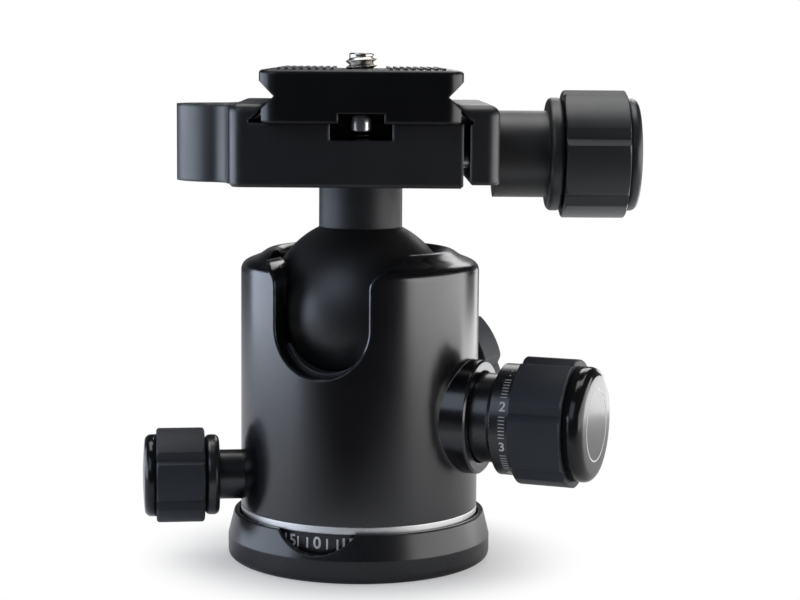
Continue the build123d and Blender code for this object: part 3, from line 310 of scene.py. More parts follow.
def effect(name, inputs, output):
    """Empty shader node group. Inputs are (name, type, default), the output is (name, type)."""
    group = bpy.data.node_groups.new(name, "ShaderNodeTree")
    for title, kind, default in inputs:
        socket = group.interface.new_socket(title, in_out="INPUT", socket_type=kind)
        if default is not None:
            socket.default_value = default
    title, kind = output
    group.interface.new_socket(title, in_out="OUTPUT", socket_type=kind)
    given = group.nodes.new("NodeGroupInput").outputs
    result = group.nodes.new("NodeGroupOutput").inputs[title]
    print("effect:", group.name)
    return group, given, result


# %% [markdown]
# **Grain** is the fine texture of blasted and anodised metal or moulded rubber. Noise on Object
# coordinates keeps the same size on every piece, in metres.

# %% Grain
grain, given, result = effect(
    "grain", [("Scale", FLOAT, 2500.0), ("Depth", FLOAT, 1.0)], ("Height", FLOAT)
)
place = node(grain, "ShaderNodeTexCoord").outputs["Object"]
noise = node(
    grain, "ShaderNodeTexNoise", Vector=place, Scale=given["Scale"], Detail=3.0, Roughness=0.6
)
grain.links.new(maths(grain, "MULTIPLY", noise.outputs["Fac"], given["Depth"]), result)

# %% [markdown]
# **Handling** is the unevenness of a surface that has been touched and wiped. It moves the
# roughness between two values in soft patches. Noise mostly stays near its middle, so only that
# part of it is spread over the two values.

# %% Handling
MIDDLE_OF_NOISE = (0.3, 0.7)

handling, given, result = effect(
    "handling",
    [("Scale", FLOAT, 60.0), ("Smooth", FLOAT, 0.3), ("Rough", FLOAT, 0.45)],
    ("Roughness", FLOAT),
)
place = node(handling, "ShaderNodeTexCoord").outputs["Object"]
noise = node(
    handling, "ShaderNodeTexNoise", Vector=place, Scale=given["Scale"], Detail=5.0, Roughness=0.62
)
spread = node(
    handling, "ShaderNodeMapRange", noise.outputs["Fac"], *MIDDLE_OF_NOISE, given["Smooth"],
    given["Rough"],
)
handling.links.new(spread.outputs["Result"], result)

# %% [markdown]
# **Soft edges** round off sharp corners in the shading only, as a light deburring does. Without
# them an edge of black metal never catches the light, and the piece looks drawn.

# %% Soft edges
soft_edges, given, result = effect("soft_edges", [("Width", FLOAT, 0.0003)], ("Normal", VECTOR))
rounded = node(soft_edges, "ShaderNodeBevel", samples=BEVEL_SAMPLES, Radius=given["Width"])
soft_edges.links.new(rounded.outputs["Normal"], result)

# %% [markdown]
# **Edge wear** finds edges by comparing the true normal with one that the Bevel node has rounded
# off. Where they differ there is an edge, and noise breaks the line up, as real rubbing does.

# %% Edge wear
AT_AN_EDGE = (0.995, 0.80)        # how alike the two normals are where wear starts, and is full
RUBBED_PATCHES = (0.42, 0.68)     # span of the noise over which a patch of wear comes in

edge_wear, given, result = effect(
    "edge_wear", [("Width", FLOAT, 0.0004), ("Amount", FLOAT, 0.5)], ("Mask", FLOAT)
)
rounded = node(edge_wear, "ShaderNodeBevel", samples=BEVEL_SAMPLES, Radius=given["Width"])
sharp = node(edge_wear, "ShaderNodeNewGeometry").outputs["Normal"]
alike = node(
    edge_wear, "ShaderNodeVectorMath", rounded.outputs["Normal"], sharp, operation="DOT_PRODUCT"
).outputs["Value"]
differ = node(edge_wear, "ShaderNodeMapRange", alike, *AT_AN_EDGE)
place = node(edge_wear, "ShaderNodeTexCoord").outputs["Object"]
noise = node(edge_wear, "ShaderNodeTexNoise", Vector=place, Scale=420.0, Detail=4.0)
broken = node(edge_wear, "ShaderNodeMapRange", noise.outputs["Fac"], *RUBBED_PATCHES)
worn = maths(edge_wear, "MULTIPLY", differ.outputs["Result"], broken.outputs["Result"])
scaled = node(
    edge_wear, "ShaderNodeMath", worn, given["Amount"], operation="MULTIPLY", use_clamp=True
)
edge_wear.links.new(scaled.outputs[0], result)

# %% [markdown]
# **Lathe marks** are fine rings round the axis on which a piece was turned. A Mapping node in each
# finish first lays that axis along Z. The group then reads noise by radius and height only, so the
# pattern can't vary round the axis.

# %% Lathe marks
lathe, given, result = effect(
    "lathe_marks",
    [("Vector", VECTOR, None), ("Scale", FLOAT, 3000.0), ("Depth", FLOAT, 1.0)],
    ("Height", FLOAT),
)
split = node(lathe, "ShaderNodeSeparateXYZ", given["Vector"]).outputs
flat = node(lathe, "ShaderNodeCombineXYZ", split["X"], split["Y"]).outputs[0]
radius = node(lathe, "ShaderNodeVectorMath", flat, operation="LENGTH").outputs["Value"]
ringed = node(lathe, "ShaderNodeCombineXYZ", radius, split["Z"]).outputs[0]
noise = node(
    lathe, "ShaderNodeTexNoise", noise_dimensions="2D", Vector=ringed, Scale=given["Scale"],
    Detail=4.0, Roughness=0.7,
)
lathe.links.new(maths(lathe, "MULTIPLY", noise.outputs["Fac"], given["Depth"]), result)

# %% [markdown]
# ## Finishes
# A finish places the effects that it needs and gives them values. The fine relief of a surface is
# its grain and its lathe marks, added up. The rings need an axis, a point and a direction, so that
# on a knob they run round the knob.

# %% Relief
def use(tree, group, **values):
    """Places an effect in a finish, with that finish's values. Returns its output."""
    return node(tree, "ShaderNodeGroup", node_tree=group, **values).outputs[0]


def relief(tree, grain_size, grain_depth, rings, ring_scale, axis):
    """Heights of the grain and the lathe marks, added up, or None where a finish has neither."""
    heights = []
    if grain_size:
        heights.append(use(tree, grain, Scale=1 / (grain_size * MM), Depth=grain_depth))
    if rings:
        start, direction = axis
        place = node(tree, "ShaderNodeTexCoord").outputs["Object"]
        turn = direction.to_track_quat("Z", "Y").to_euler()
        laid = node(
            tree, "ShaderNodeMapping", place, vector_type="TEXTURE", Location=start, Rotation=turn
        )
        heights.append(use(tree, lathe, Vector=laid.outputs[0], Scale=ring_scale, Depth=rings))
    if len(heights) == 2:
        return maths(tree, "ADD", *heights)
    return heights[0] if heights else None


print("effects to choose from:", ", ".join(group.name for group in bpy.data.node_groups))

# %% [markdown]
# One function lays out every opaque finish: a Principled shader, whose colour is rubbed at the
# edges, whose roughness varies with handling, and whose normal comes from the relief. Plain values
# go straight onto the shader's own sockets. Another puts a finish on the solids that wear it.

# %% Finish builder
MIX_A, MIX_B, MIXED = 6, 7, 2     # the colour sockets of a Mix node, which has some for every type


def finish(
    name, colour, worn_colour, roughness, wear=(0.0004, 0.5), grain_size=None, grain_depth=0.02,
    rings=0.0, ring_scale=3000.0, axis=None, patch=60.0, edge=0.3, **sockets,
):
    """Opaque finish. roughness is (smooth, rough); edge and depths of relief are in millimetres."""
    made, tree, out = blank_material(name)
    touched = use(tree, handling, Scale=patch, Smooth=roughness[0], Rough=roughness[1])
    rubbed = use(tree, edge_wear, Width=wear[0], Amount=wear[1])
    mix = node(tree, "ShaderNodeMix", rubbed, data_type="RGBA")
    mix.inputs[MIX_A].default_value = (*colour, 1)
    mix.inputs[MIX_B].default_value = (*worn_colour, 1)
    normal = use(tree, soft_edges, Width=edge * MM)
    height = relief(tree, grain_size, grain_depth, rings, ring_scale, axis)
    if height:
        bump = node(
            tree, "ShaderNodeBump", Strength=1.0, Distance=MM, Height=height, Normal=normal
        )
        normal = bump.outputs["Normal"]
    shader = node(
        tree, "ShaderNodeBsdfPrincipled", Base_Color=mix.outputs[MIXED], Roughness=touched,
        Normal=normal, **sockets,
    )
    tree.links.new(shader.outputs[0], out.inputs["Surface"])
    return made


def coat(material, *names):
    """Puts a finish on solids by name."""
    for name in names:
        slots = solids[name].data.materials
        slots.clear()
        slots.append(material)
    print(material.name, "on", ", ".join(names))


# %% [markdown]
# The axes of the head and of its four knobs are needed for the lathe marks, and later for the
# numbers on the friction knob. Each is a point and a unit vector, found from the knob's azimuth and
# height.

# %% Turning axes
def outward(azimuth):
    """Level direction away from the head's axis. Azimuth 0 is towards the camera."""
    return Vector((sin(radians(azimuth)), -cos(radians(azimuth)), 0))


UP = Vector((0, 0, 1))
HEAD_AXIS = (Vector((0, 0, 0)), UP)
PAN_AXIS = (Vector((0, 0, 17.25)) * MM, outward(-84))
LOCK_AXIS = (Vector((0, 0, 34.0)) * MM, outward(157))
FRICTION_AXIS = (Vector((0, 0, 30.7)) * MM, outward(68))
CLAMP_AXIS = (Vector((0, 0, 83.35)) * MM, outward(90))
print("friction knob points", [round(v, 3) for v in FRICTION_AXIS[1]])

# %% [markdown]
# ### Anodised aluminium
# The housing, base and clamp are aluminium, blasted or turned and then anodised black. The layer is
# satin, with a faint grain, and on turned pieces the tool's rings still show through it. It could
# be a metallic shader, but the black layer is an oxide, so it is a dark one with a high index
# instead.

# %% Black anodised
BLACK = (0.0036, 0.0036, 0.0052)
RUBBED = (0.085, 0.086, 0.090)
ANODISED_IOR = 1.85               # the sealed oxide over metal mirrors more than plastic does

housing_black = finish(
    "housing_black", BLACK, RUBBED, (0.18, 0.24), wear=(0.0006, 2.0), grain_size=0.16,
    grain_depth=0.0016, rings=0.0012, ring_scale=2600, axis=HEAD_AXIS, patch=45, IOR=ANODISED_IOR,
)
base_black = finish(
    "base_black", (0.013, 0.013, 0.0145), RUBBED, (0.24, 0.32), wear=(0.0004, 0.5),
    grain_size=0.16, grain_depth=0.0016, rings=0.0016, ring_scale=2600, axis=HEAD_AXIS, patch=50,
    IOR=1.6,
)
clamp_black = finish(
    "clamp_black", BLACK, RUBBED, (0.38, 0.46), wear=(0.0004, 0.45), grain_size=0.12,
    grain_depth=0.004, edge=0.9, IOR=ANODISED_IOR,
)
plate_black = finish(
    "plate_black", (0.001, 0.001, 0.0016), RUBBED, (0.28, 0.36), wear=(0.00035, 0.5),
    grain_size=0.12, grain_depth=0.004, edge=0.7, IOR=1.6,
)
coat(housing_black, "ball_housing")
coat(base_black, "base_shell", "degree_ring")
coat(clamp_black, "clamp_base", "clamp_jaw")
coat(plate_black, "camera_plate")

# %% [markdown]
# The metal parts of the knobs are turned too, each round its own axis, so each needs a finish whose
# rings follow that axis. The clamp's knob is blasted after turning, and shines less.

# %% Turned knob metal
def knob_metal(name, axis, roughness=(0.24, 0.34)):
    """Black anodised finish with rings round a knob's axis."""
    return finish(
        name, (0.011, 0.011, 0.012), RUBBED, roughness, wear=(0.0003, 0.5), rings=0.0018,
        ring_scale=3200, axis=axis, grain_size=0.14, grain_depth=0.001, IOR=ANODISED_IOR,
    )


coat(knob_metal("pan_knob_metal", PAN_AXIS), "pan_knob_hub")
coat(knob_metal("lock_knob_metal", LOCK_AXIS), "lock_knob_hub")
coat(knob_metal("friction_knob_metal", FRICTION_AXIS), "friction_dial")
coat(knob_metal("clamp_knob_metal", CLAMP_AXIS, (0.40, 0.50)), "clamp_knob_hub")

# %% [markdown]
# ### The ball and its stem
# The ball is blasted very finely and hardened, which lets the seat grip it evenly. Its highlight is
# broader and softer than the housing's. The stem is blasted more coarsely and looks greyer beside
# it.

# %% Ball and stem
ball_black = finish(
    "ball_black", (0.007, 0.007, 0.0075), RUBBED, (0.38, 0.45), wear=(0.0003, 0.2),
    grain_size=0.3, grain_depth=0.0012, patch=70, IOR=1.8,
)
stem_black = finish(
    "stem_black", (0.018, 0.020, 0.023), RUBBED, (0.42, 0.50), wear=(0.0004, 0.6),
    grain_size=0.10, grain_depth=0.005,
)
coat(ball_black, "ball")
coat(stem_black, "stem")

# %% [markdown]
# ### Rubber and moulded caps
# The grips are firm rubber with a fine moulded texture and almost no shine. The clamp's knob is
# handled most, so its rubber is wiped smoother. The plate's pads are a paler rubber. The caps on
# the ends of the other knobs are glossy black plastic.

# %% Rubber and caps
rubber = finish(
    "rubber", (0.030, 0.034, 0.041), (0.070, 0.075, 0.080), (0.44, 0.52), wear=(0.0006, 0.6),
    grain_size=0.09, grain_depth=0.010, IOR=1.42,
)
wiped_rubber = finish(
    "wiped_rubber", (0.026, 0.028, 0.031), (0.080, 0.085, 0.090), (0.30, 0.38),
    wear=(0.0006, 0.6), grain_size=0.09, grain_depth=0.008, IOR=1.6,
)
pad_rubber = finish(
    "pad_rubber", (0.13, 0.13, 0.135), (0.16, 0.16, 0.165), (0.28, 0.36), wear=(0.0003, 0.5),
    grain_size=0.09, grain_depth=0.006, IOR=1.6,
)
cap_gloss = finish(
    "cap_gloss", (0.010, 0.010, 0.010), (0.05, 0.05, 0.05), (0.10, 0.18), wear=(0.0003, 0.2),
    grain_size=0.8, grain_depth=0.0015, patch=90,
)
coat(rubber, "pan_knob_grip", "lock_knob_grip", "friction_knob_grip")
coat(wiped_rubber, "clamp_knob_grip", "clamp_knob_cap")
coat(pad_rubber, "grip_pads")
coat(cap_gloss, "pan_knob_cap", "lock_knob_cap", "friction_knob_cap")

# %% [markdown]
# ### Bare metal
# The band at the foot of the housing is aluminium, turned bright and left bare. The screws and pins
# are steel, and the bushes that the knobs' screws run in are brass. Bare metal is a metallic
# shader, whose colour is what it mirrors, and its worn edges are a little brighter.

# %% Bright metals
WORN_BRIGHTER = 1.15


def bare_metal(name, colour, roughness, axis, rings=0.003):
    """Metallic finish with rings round an axis."""
    return finish(
        name, colour, tuple(min(1, c * WORN_BRIGHTER) for c in colour), roughness,
        wear=(0.0003, 0.4), rings=rings, ring_scale=3500, axis=axis, Metallic=1.0,
    )


bright_aluminium = bare_metal("bright_aluminium", (0.97, 0.97, 0.97), (0.36, 0.44), HEAD_AXIS)
steel = bare_metal("steel", (0.62, 0.61, 0.59), (0.20, 0.30), HEAD_AXIS)
chrome = bare_metal("chrome", (0.96, 0.96, 0.97), (0.22, 0.28), HEAD_AXIS, rings=0.0008)
cross_steel = bare_metal("cross_steel", (0.60, 0.59, 0.57), (0.22, 0.32), CLAMP_AXIS)
screw_steel = bare_metal("screw_steel", (0.66, 0.63, 0.58), (0.18, 0.28), HEAD_AXIS, rings=0.002)
dark_steel = bare_metal("dark_steel", (0.09, 0.09, 0.095), (0.30, 0.42), HEAD_AXIS)
coat(bright_aluminium, "bright_end_ring", "base_hub", "mechanism_plate", "retaining_ring")
coat(steel, "tripod_bush", "clamp_bolt", "safety_pin_spring")
coat(chrome, "safety_pin")
coat(cross_steel, "clamp_screw", "jaw_guide_pins", "jaw_springs", "lock_wedge", "friction_wedge")
coat(screw_steel, "camera_screw")
coat(dark_steel, "hub_screws", "retaining_screws", "safety_pin_clip", "camera_screw_clip")
for name, axis in (("lock", LOCK_AXIS), ("friction", FRICTION_AXIS), ("pan", PAN_AXIS)):
    brass = bare_metal(f"{name}_brass", (0.72, 0.52, 0.24), (0.25, 0.35), axis)
    coat(brass, f"{name}_thread_bush")
    screw = bare_metal(f"{name}_steel", (0.58, 0.57, 0.55), (0.25, 0.35), axis)
    coat(screw, f"{name}_screw")

# %% [markdown]
# ### Bearing pieces
# The seats, the washers and the brake shoe are slippery plastic. They show only in the notch and
# when pieces are apart. The seat above the ball is nearly black, and the cup below it is grey.

# %% Bearing pieces
seat_plastic = finish(
    "seat_plastic", (0.012, 0.012, 0.013), (0.05, 0.05, 0.05), (0.22, 0.30), grain_size=0.3,
    grain_depth=0.002,
)
cup_plastic = finish(
    "cup_plastic", (0.09, 0.093, 0.10), (0.10, 0.10, 0.11), (0.20, 0.28), grain_size=0.3,
    grain_depth=0.002, IOR=1.7,
)
bearing_plastic = finish(
    "bearing_plastic", (0.70, 0.69, 0.64), (0.78, 0.77, 0.72), (0.40, 0.50), grain_size=0.3,
    grain_depth=0.004,
)
coat(seat_plastic, "upper_ball_seat")
coat(cup_plastic, "ball_cup")
coat(
    bearing_plastic, "lower_glide_washer", "upper_glide_washer", "pan_brake_shoe",
    "camera_screw_washer",
)

# %% [markdown]
# ## The level
# The vial is clear acrylic, filled with tinted spirit. Both are see-through, so their shaders keep
# plain values for transmission.

# %% Level
def clear_finish(name, colour, ior, transmission):
    """See-through finish, with faint smears where it has been touched."""
    made, tree, out = blank_material(name)
    touched = use(tree, handling, Scale=120.0, Smooth=0.02, Rough=0.06)
    shader = node(
        tree, "ShaderNodeBsdfPrincipled", Base_Color=(*colour, 1), Roughness=touched, IOR=ior,
        Transmission_Weight=transmission,
    )
    tree.links.new(shader.outputs[0], out.inputs["Surface"])
    return made


coat(clear_finish("clear_acrylic", (0.96, 1.0, 0.97), 1.49, 1.0), "level_vial")
coat(clear_finish("spirit", (0.62, 0.85, 0.10), 1.36, 0.35), "level_liquid")

# %% [markdown]
# ## Modelling helpers
# The new pieces are round, so most of them start as a cylinder, or as an outline that is drawn
# beside the Z axis and spun about it. They are made upright at the origin, and laid onto their own
# axis only when they are done.

# %% Shapes
TURN_STEPS = 36
ROUND_SIDES = 72
SAME_HEIGHT = 1e-6
MERGE_DISTANCE = 1e-7


def add_cylinder(bm, radius, low, high, sides=ROUND_SIDES):
    """Cylinder about Z between two heights."""
    made = bmesh.ops.create_cone(
        bm, cap_ends=True, segments=sides, radius1=radius, radius2=radius, depth=high - low
    )
    bmesh.ops.translate(bm, verts=made["verts"], vec=(0, 0, (low + high) / 2))


def edges_at(bm, height):
    """The edges that lie at one height, such as the rim of a cylinder."""
    return [e for e in bm.edges if all(abs(v.co.z - height) < SAME_HEIGHT for v in e.verts)]


def round_off(bm, edges, width, segments):
    """Bevels edges. The operator's defaults differ from the editor's, so all are given."""
    bmesh.ops.bevel(
        bm, geom=edges, offset=width, segments=segments, profile=0.5, material=-1,
        affect="EDGES", offset_type="OFFSET",
    )


def add_outline(bm, points):
    """Closed outline of (radius, height) points beside Z. Returns its corners and sides."""
    corners = [bm.verts.new((r, 0, z)) for r, z in points]
    return corners, [bm.edges.new((corners[i - 1], corners[i])) for i in range(len(corners))]


def wind(bm, corners, sides, rise, turns):
    """Spins an outline about Z, climbing at each step, and closes the ends."""
    made = bmesh.ops.spin(
        bm, geom=corners + sides, axis=UP, cent=(0, 0, 0), dvec=(0, 0, rise),
        angle=2 * pi * turns, steps=round(TURN_STEPS * turns), use_merge=False,
    )
    last = [e for e in made["geom_last"] if isinstance(e, bmesh.types.BMEdge)]
    bmesh.ops.edgenet_fill(bm, edges=sides)
    bmesh.ops.edgenet_fill(bm, edges=last)


print("one turn is", TURN_STEPS, "steps")

# %% [markdown]
# A finished bmesh has its doubles merged and its faces turned outwards. Then it becomes an object
# that rides on one of the frame's bodies, so that it moves with the right joint. Its place goes
# into the mesh itself, and the object stays at the origin.

# %% Finishing a piece
def at_axis(axis):
    """Matrix that lays a piece made along Z onto an axis, a point and a direction."""
    start, direction = axis
    return Matrix.Translation(start) @ direction.to_track_quat("Z", "Y").to_matrix().to_4x4()


def closed(bm):
    """Merges doubles, turns every face outwards and returns the same bmesh."""
    bmesh.ops.remove_doubles(bm, verts=bm.verts, dist=MERGE_DISTANCE)
    bmesh.ops.recalc_face_normals(bm, faces=bm.faces)
    return bm


def piece(name, bm, material, body, axis=None, smooth=True):
    """Finished piece, laid onto an axis. It rides on a body, or on none."""
    if axis:
        bmesh.ops.transform(bm, matrix=at_axis(axis), verts=bm.verts)
    for face in bm.faces:
        face.smooth = smooth
    obj = mesh_object(name, bm, material)
    if body:
        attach(obj, body)
    places = [v.co for v in obj.data.vertices]
    low, high = in_mm([[f(p[i] for p in places) for i in range(3)] for f in (min, max)])
    print(name, len(obj.data.polygons), "faces, from", low, "to", high, "mm")
    return obj


# %% [markdown]
# ## Screw threads
# A thread is one ridge wound along a helix. Its V profile is drawn once, beside the axis, and spun
# round it while it is moved along by one pitch a turn. The ends are closed, so that the ridge is a
# solid of its own, sunk a little into the screw's core. This is quicker and cleaner than cutting a
# groove.

# %% Thread
THREAD_HALF = 0.44                # half the ridge's width at its root, as a share of the pitch
THREAD_TIP = 0.06                 # and at its crest
THREAD_SUNK = 0.1 * MM            # how deep the ridge goes into the metal it stands on


def add_thread(bm, crest, root, pitch, low, high):
    """V thread between two heights. An inner thread has a crest that is smaller than its root."""
    foot = root - copysign(THREAD_SUNK, crest - root)
    half, tip = pitch * THREAD_HALF, pitch * THREAD_TIP
    lower = [(foot, -half), (root, -half), (crest, -tip)]
    upper = [(r, -z) for r, z in reversed(lower)]
    middle = low + pitch / 2
    corners, sides = add_outline(bm, [(r, middle + z) for r, z in lower + upper])
    wind(bm, corners, sides, pitch / TURN_STEPS, (high - low) / pitch - 1)


print("a ridge is", 2 * THREAD_HALF, "of the pitch wide at its root")

# %% [markdown]
# ### Camera screw
# The 1/4 inch screw that holds the camera has 20 threads to the inch, a pitch of 1.27 mm. Its head
# and its neck are kept from the solid, which is cut off level with the plate. The end above is made
# again, with a core, a chamfered end and the thread, which starts a little way down in the plate's
# hole.

# %% Camera screw
CAMERA_SCREW_R = 3.175 * MM
CAMERA_CORE_R = 2.5 * MM
CAMERA_PITCH = 1.27 * MM
CAMERA_CHAMFER = 0.3 * MM
BELOW_PLATE = 0.02 * MM           # how far under the plate's top the solid is cut
CORE_SUNK = 0.3 * MM              # how far the new core reaches down below the cut
THREAD_BELOW = 1.0 * MM           # and the thread
THREAD_SHORT = 0.12 * MM          # plain end above the thread

screw_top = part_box("camera_screw")[1].z
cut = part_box("camera_plate")[1].z - BELOW_PLATE
bm = bmesh.new()
bm.from_mesh(solids["camera_screw"].data)
bmesh.ops.remove_doubles(bm, verts=bm.verts, dist=MERGE_DISTANCE)
whole = bm.verts[:] + bm.edges[:] + bm.faces[:]
bmesh.ops.bisect_plane(bm, geom=whole, plane_co=(0, 0, cut), plane_no=UP, clear_outer=True)
bmesh.ops.holes_fill(bm, edges=[e for e in bm.edges if e.is_boundary])
add_cylinder(bm, CAMERA_CORE_R, cut - CORE_SUNK, screw_top, TURN_STEPS)
round_off(bm, edges_at(bm, screw_top), CAMERA_CHAMFER, segments=2)
add_thread(
    bm, CAMERA_SCREW_R, CAMERA_CORE_R, CAMERA_PITCH, cut - THREAD_BELOW, screw_top - THREAD_SHORT
)
camera_screw = piece(
    "camera_screw_threaded", closed(bm), screw_steel, "camera_screw", smooth=False
)
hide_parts("camera_screw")

# %% [markdown]
# ### Clamp screw
# The clamp's knob pulls its jaw with a 6 mm screw of 1 mm pitch, which shows in the gap beside the
# jaw. It is a core with a thread, made along Z and then laid along the knob's axis.

# %% Clamp screw
CLAMP_SCREW_R = 3.0 * MM
CLAMP_CORE_R = 2.45 * MM
CLAMP_PITCH = 1.0 * MM
PLAIN_TIP, PLAIN_ROOT = 0.2 * MM, 2 * MM

low, high = [corner.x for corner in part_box("clamp_screw")]
bm = bmesh.new()
add_cylinder(bm, CLAMP_CORE_R, low, high, TURN_STEPS)
add_thread(bm, CLAMP_SCREW_R, CLAMP_CORE_R, CLAMP_PITCH, low + PLAIN_TIP, high - PLAIN_ROOT)
clamp_screw = piece(
    "clamp_screw_threaded", closed(bm), cross_steel, "clamp_knob", CLAMP_AXIS,
    smooth=False,
)
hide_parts("clamp_screw")

# %% [markdown]
# ### Tripod socket
# The 3/8 inch socket in the underside has 16 threads to the inch, a pitch of 1.5875 mm. The solid's
# bore is plain and as wide as the drill for that thread. Its wall can't be cut here, so a low ridge
# stands inside the bore and shows the thread.

# %% Socket thread
SOCKET_R = 4.0 * MM
SOCKET_PITCH = 1.5875 * MM
SOCKET_SPAN = (0.5 * MM, 11.8 * MM)
RIDGE = 0.25 * MM

bm = bmesh.new()
add_thread(bm, SOCKET_R - RIDGE, SOCKET_R, SOCKET_PITCH, *SOCKET_SPAN)
piece("tripod_socket_thread", closed(bm), steel, "base", smooth=False)

# %% [markdown]
# ## Springs
# Two springs round the guide pins push the jaw open. Each is a round wire wound on a helix. The
# wire's section stands beside the axis before it is spun. A spring rests on the clamp with one end
# and on the moving piece with the other.

# %% Jaw springs
WIRE_SIDES = 10
JAW_WIRE = 0.32 * MM
JAW_TURNS = 5.5


def add_spring(bm, radius, wire, low, high, turns, axis):
    """Coil of round wire on an axis. The radius is to the middle of the wire."""
    before = set(bm.verts)
    section = Matrix.Translation((radius, 0, low + wire)) @ Matrix.Rotation(pi / 2, 4, "X")
    start = bmesh.ops.create_circle(bm, radius=wire, segments=WIRE_SIDES, matrix=section)["verts"]
    sides = list(dict.fromkeys(e for v in start for e in v.link_edges))
    rise = (high - low - 2 * wire) / round(TURN_STEPS * turns)
    wind(bm, start, sides, rise, turns)
    coil = [v for v in bm.verts if v not in before]
    bmesh.ops.transform(bm, matrix=at_axis(axis), verts=coil)


spring_low, spring_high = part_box("jaw_springs")
spring_z = CLAMP_AXIS[0].z
spring_r = (spring_high.z - spring_low.z) / 2
bm = bmesh.new()
for side in (-1, 1):
    guide = (Vector((0, side * (spring_high.y - spring_r), spring_z)), CLAMP_AXIS[1])
    add_spring(bm, spring_r - JAW_WIRE, JAW_WIRE, spring_low.x, spring_high.x, JAW_TURNS, guide)
jaw_springs = piece("jaw_spring_coils", closed(bm), cross_steel, None)
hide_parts("jaw_springs")
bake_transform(jaw_springs)

# %% [markdown]
# A small spring lifts the safety pin. It is made the same way, upright round the pin.

# %% Safety pin's spring
PIN_WIRE = 0.22 * MM
PIN_TURNS = 7

pin_low, pin_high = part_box("safety_pin_spring")
pin_axis = (Vector((0, (pin_low.y + pin_high.y) / 2, 0)), UP)
coil_r = (pin_high.x - pin_low.x) / 2 - PIN_WIRE
bm = bmesh.new()
add_spring(bm, coil_r, PIN_WIRE, pin_low.z, pin_high.z, PIN_TURNS, pin_axis)
pin_spring = piece("safety_pin_coil", closed(bm), dark_steel, None)
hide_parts("safety_pin_spring")
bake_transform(pin_spring)

# %% [markdown]
# ## Safety pin
# The pin that stops the plate from sliding out has a bright turned head and a dark shank, which
# goes down through the spring. Each is a cylinder, and the head's edges are rounded.

# %% Safety pin
PIN_HEAD = 3.4 * MM               # how high the head is
PIN_ROUND = 0.4 * MM
PIN_SHANK_R = 1.1 * MM
SHANK_SUNK = 0.1 * MM             # how far the shank goes into the head

low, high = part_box("safety_pin")
head_low = high.z - PIN_HEAD
bm = bmesh.new()
add_cylinder(bm, (high.x - low.x) / 2, head_low, high.z)
round_off(bm, edges_at(bm, head_low) + edges_at(bm, high.z), PIN_ROUND, segments=4)
pin_head = piece("safety_pin_head", closed(bm), chrome, "safety_pin", pin_axis)
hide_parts("safety_pin")

bm = bmesh.new()
add_cylinder(bm, PIN_SHANK_R, low.z, head_low + SHANK_SUNK)
piece("safety_pin_shank", closed(bm), dark_steel, "safety_pin", pin_axis)

# %% [markdown]
# ## Printed and engraved marks
# The degree ring and the friction dial carry white filled numbers and ticks. They stand 0.02 mm
# proud, as thick paint does, so that they never flicker. A picture of the marks could be laid on
# the surface, but real letters stay sharp however near the camera comes.

# %% White paint
white_paint = finish(
    "white_paint", (0.80, 0.80, 0.78), (0.62, 0.62, 0.61), (0.42, 0.55), wear=(0.0002, 0.8),
    grain_size=0.1, grain_depth=0.004, edge=0.05,
)
print("material:", white_paint.name)

# %% [markdown]
# A tick is a thin plate, repeated round its axis. A number is a text object, made a mesh, and then
# wrapped round the cylinder it is printed on.

# %% Mark helpers
PAINT = 0.02 * MM
BOLDER = 0.02                     # how far a number's outline moves out, as a share of its size


def wrap(verts, radius, turn):
    """Bends flat marks round Z. X runs round, Y becomes height and Z stands out of the surface."""
    for v in verts:
        angle = turn + v.co.x / radius
        reach = radius + v.co.z
        v.co = Vector((reach * sin(angle), -reach * cos(angle), v.co.y))


def add_number(bm, text, size, radius, turn, height, upright=True):
    """Number on a cylinder about Z, centred at an angle and a height."""
    curve = bpy.data.curves.new(text, "FONT")
    curve.body = text
    curve.size = size
    curve.align_x, curve.align_y = "CENTER", "CENTER"
    curve.extrude = PAINT
    curve.offset = size * BOLDER
    holder = bpy.data.objects.new(text, curve)
    flat = bpy.data.meshes.new_from_object(holder)
    count = len(bm.verts)
    bm.from_mesh(flat)
    bm.verts.ensure_lookup_table()
    made = bm.verts[count:]
    if not upright:
        quarter = Matrix.Rotation(pi / 2, 3, "Z")
        bmesh.ops.rotate(bm, verts=made, cent=(0, 0, 0), matrix=quarter)
    bmesh.ops.translate(bm, verts=made, vec=(0, height, 0))
    wrap(made, radius, turn)
    bpy.data.objects.remove(holder)
    bpy.data.meshes.remove(flat)
    bpy.data.curves.remove(curve)


def add_tick(bm, wide, tall, radius, turn, height):
    """Thin plate on a cylinder about Z."""
    made = bmesh.ops.create_cube(bm, size=1)["verts"]
    bmesh.ops.scale(bm, vec=(wide, tall, 2 * PAINT), verts=made)
    bmesh.ops.translate(bm, verts=made, vec=(0, height, 0))
    wrap(made, radius, turn)


print("marks stand", round(PAINT / MM, 3), "mm proud")

# %% [markdown]
# ### Degree ring
# The ring turns with the housing, and its zero lies under the window in the base when the notch
# faces front. There is a tick every 5 degrees, and a number every 15, counted both ways from zero.

# %% Degree marks
RING_R = 24.0 * MM
RING_ZERO = radians(-20)
MARK_Z = 7.45 * MM
TICK_EVERY, NUMBER_EVERY = 5, 15
DEGREE_TICK = (0.36 * MM, 2.1 * MM)
DEGREE_SIZE = 3.35 * MM

bm = bmesh.new()
for step in range(0, 360, TICK_EVERY):
    turn = RING_ZERO + radians(step)
    if step % NUMBER_EVERY:
        add_tick(bm, *DEGREE_TICK, RING_R, turn, MARK_Z)
    else:
        shown = min(step, 360 - step)
        add_number(bm, str(shown), DEGREE_SIZE, RING_R, turn, MARK_Z)
piece("degree_marks", bm, white_paint, "housing", smooth=False)

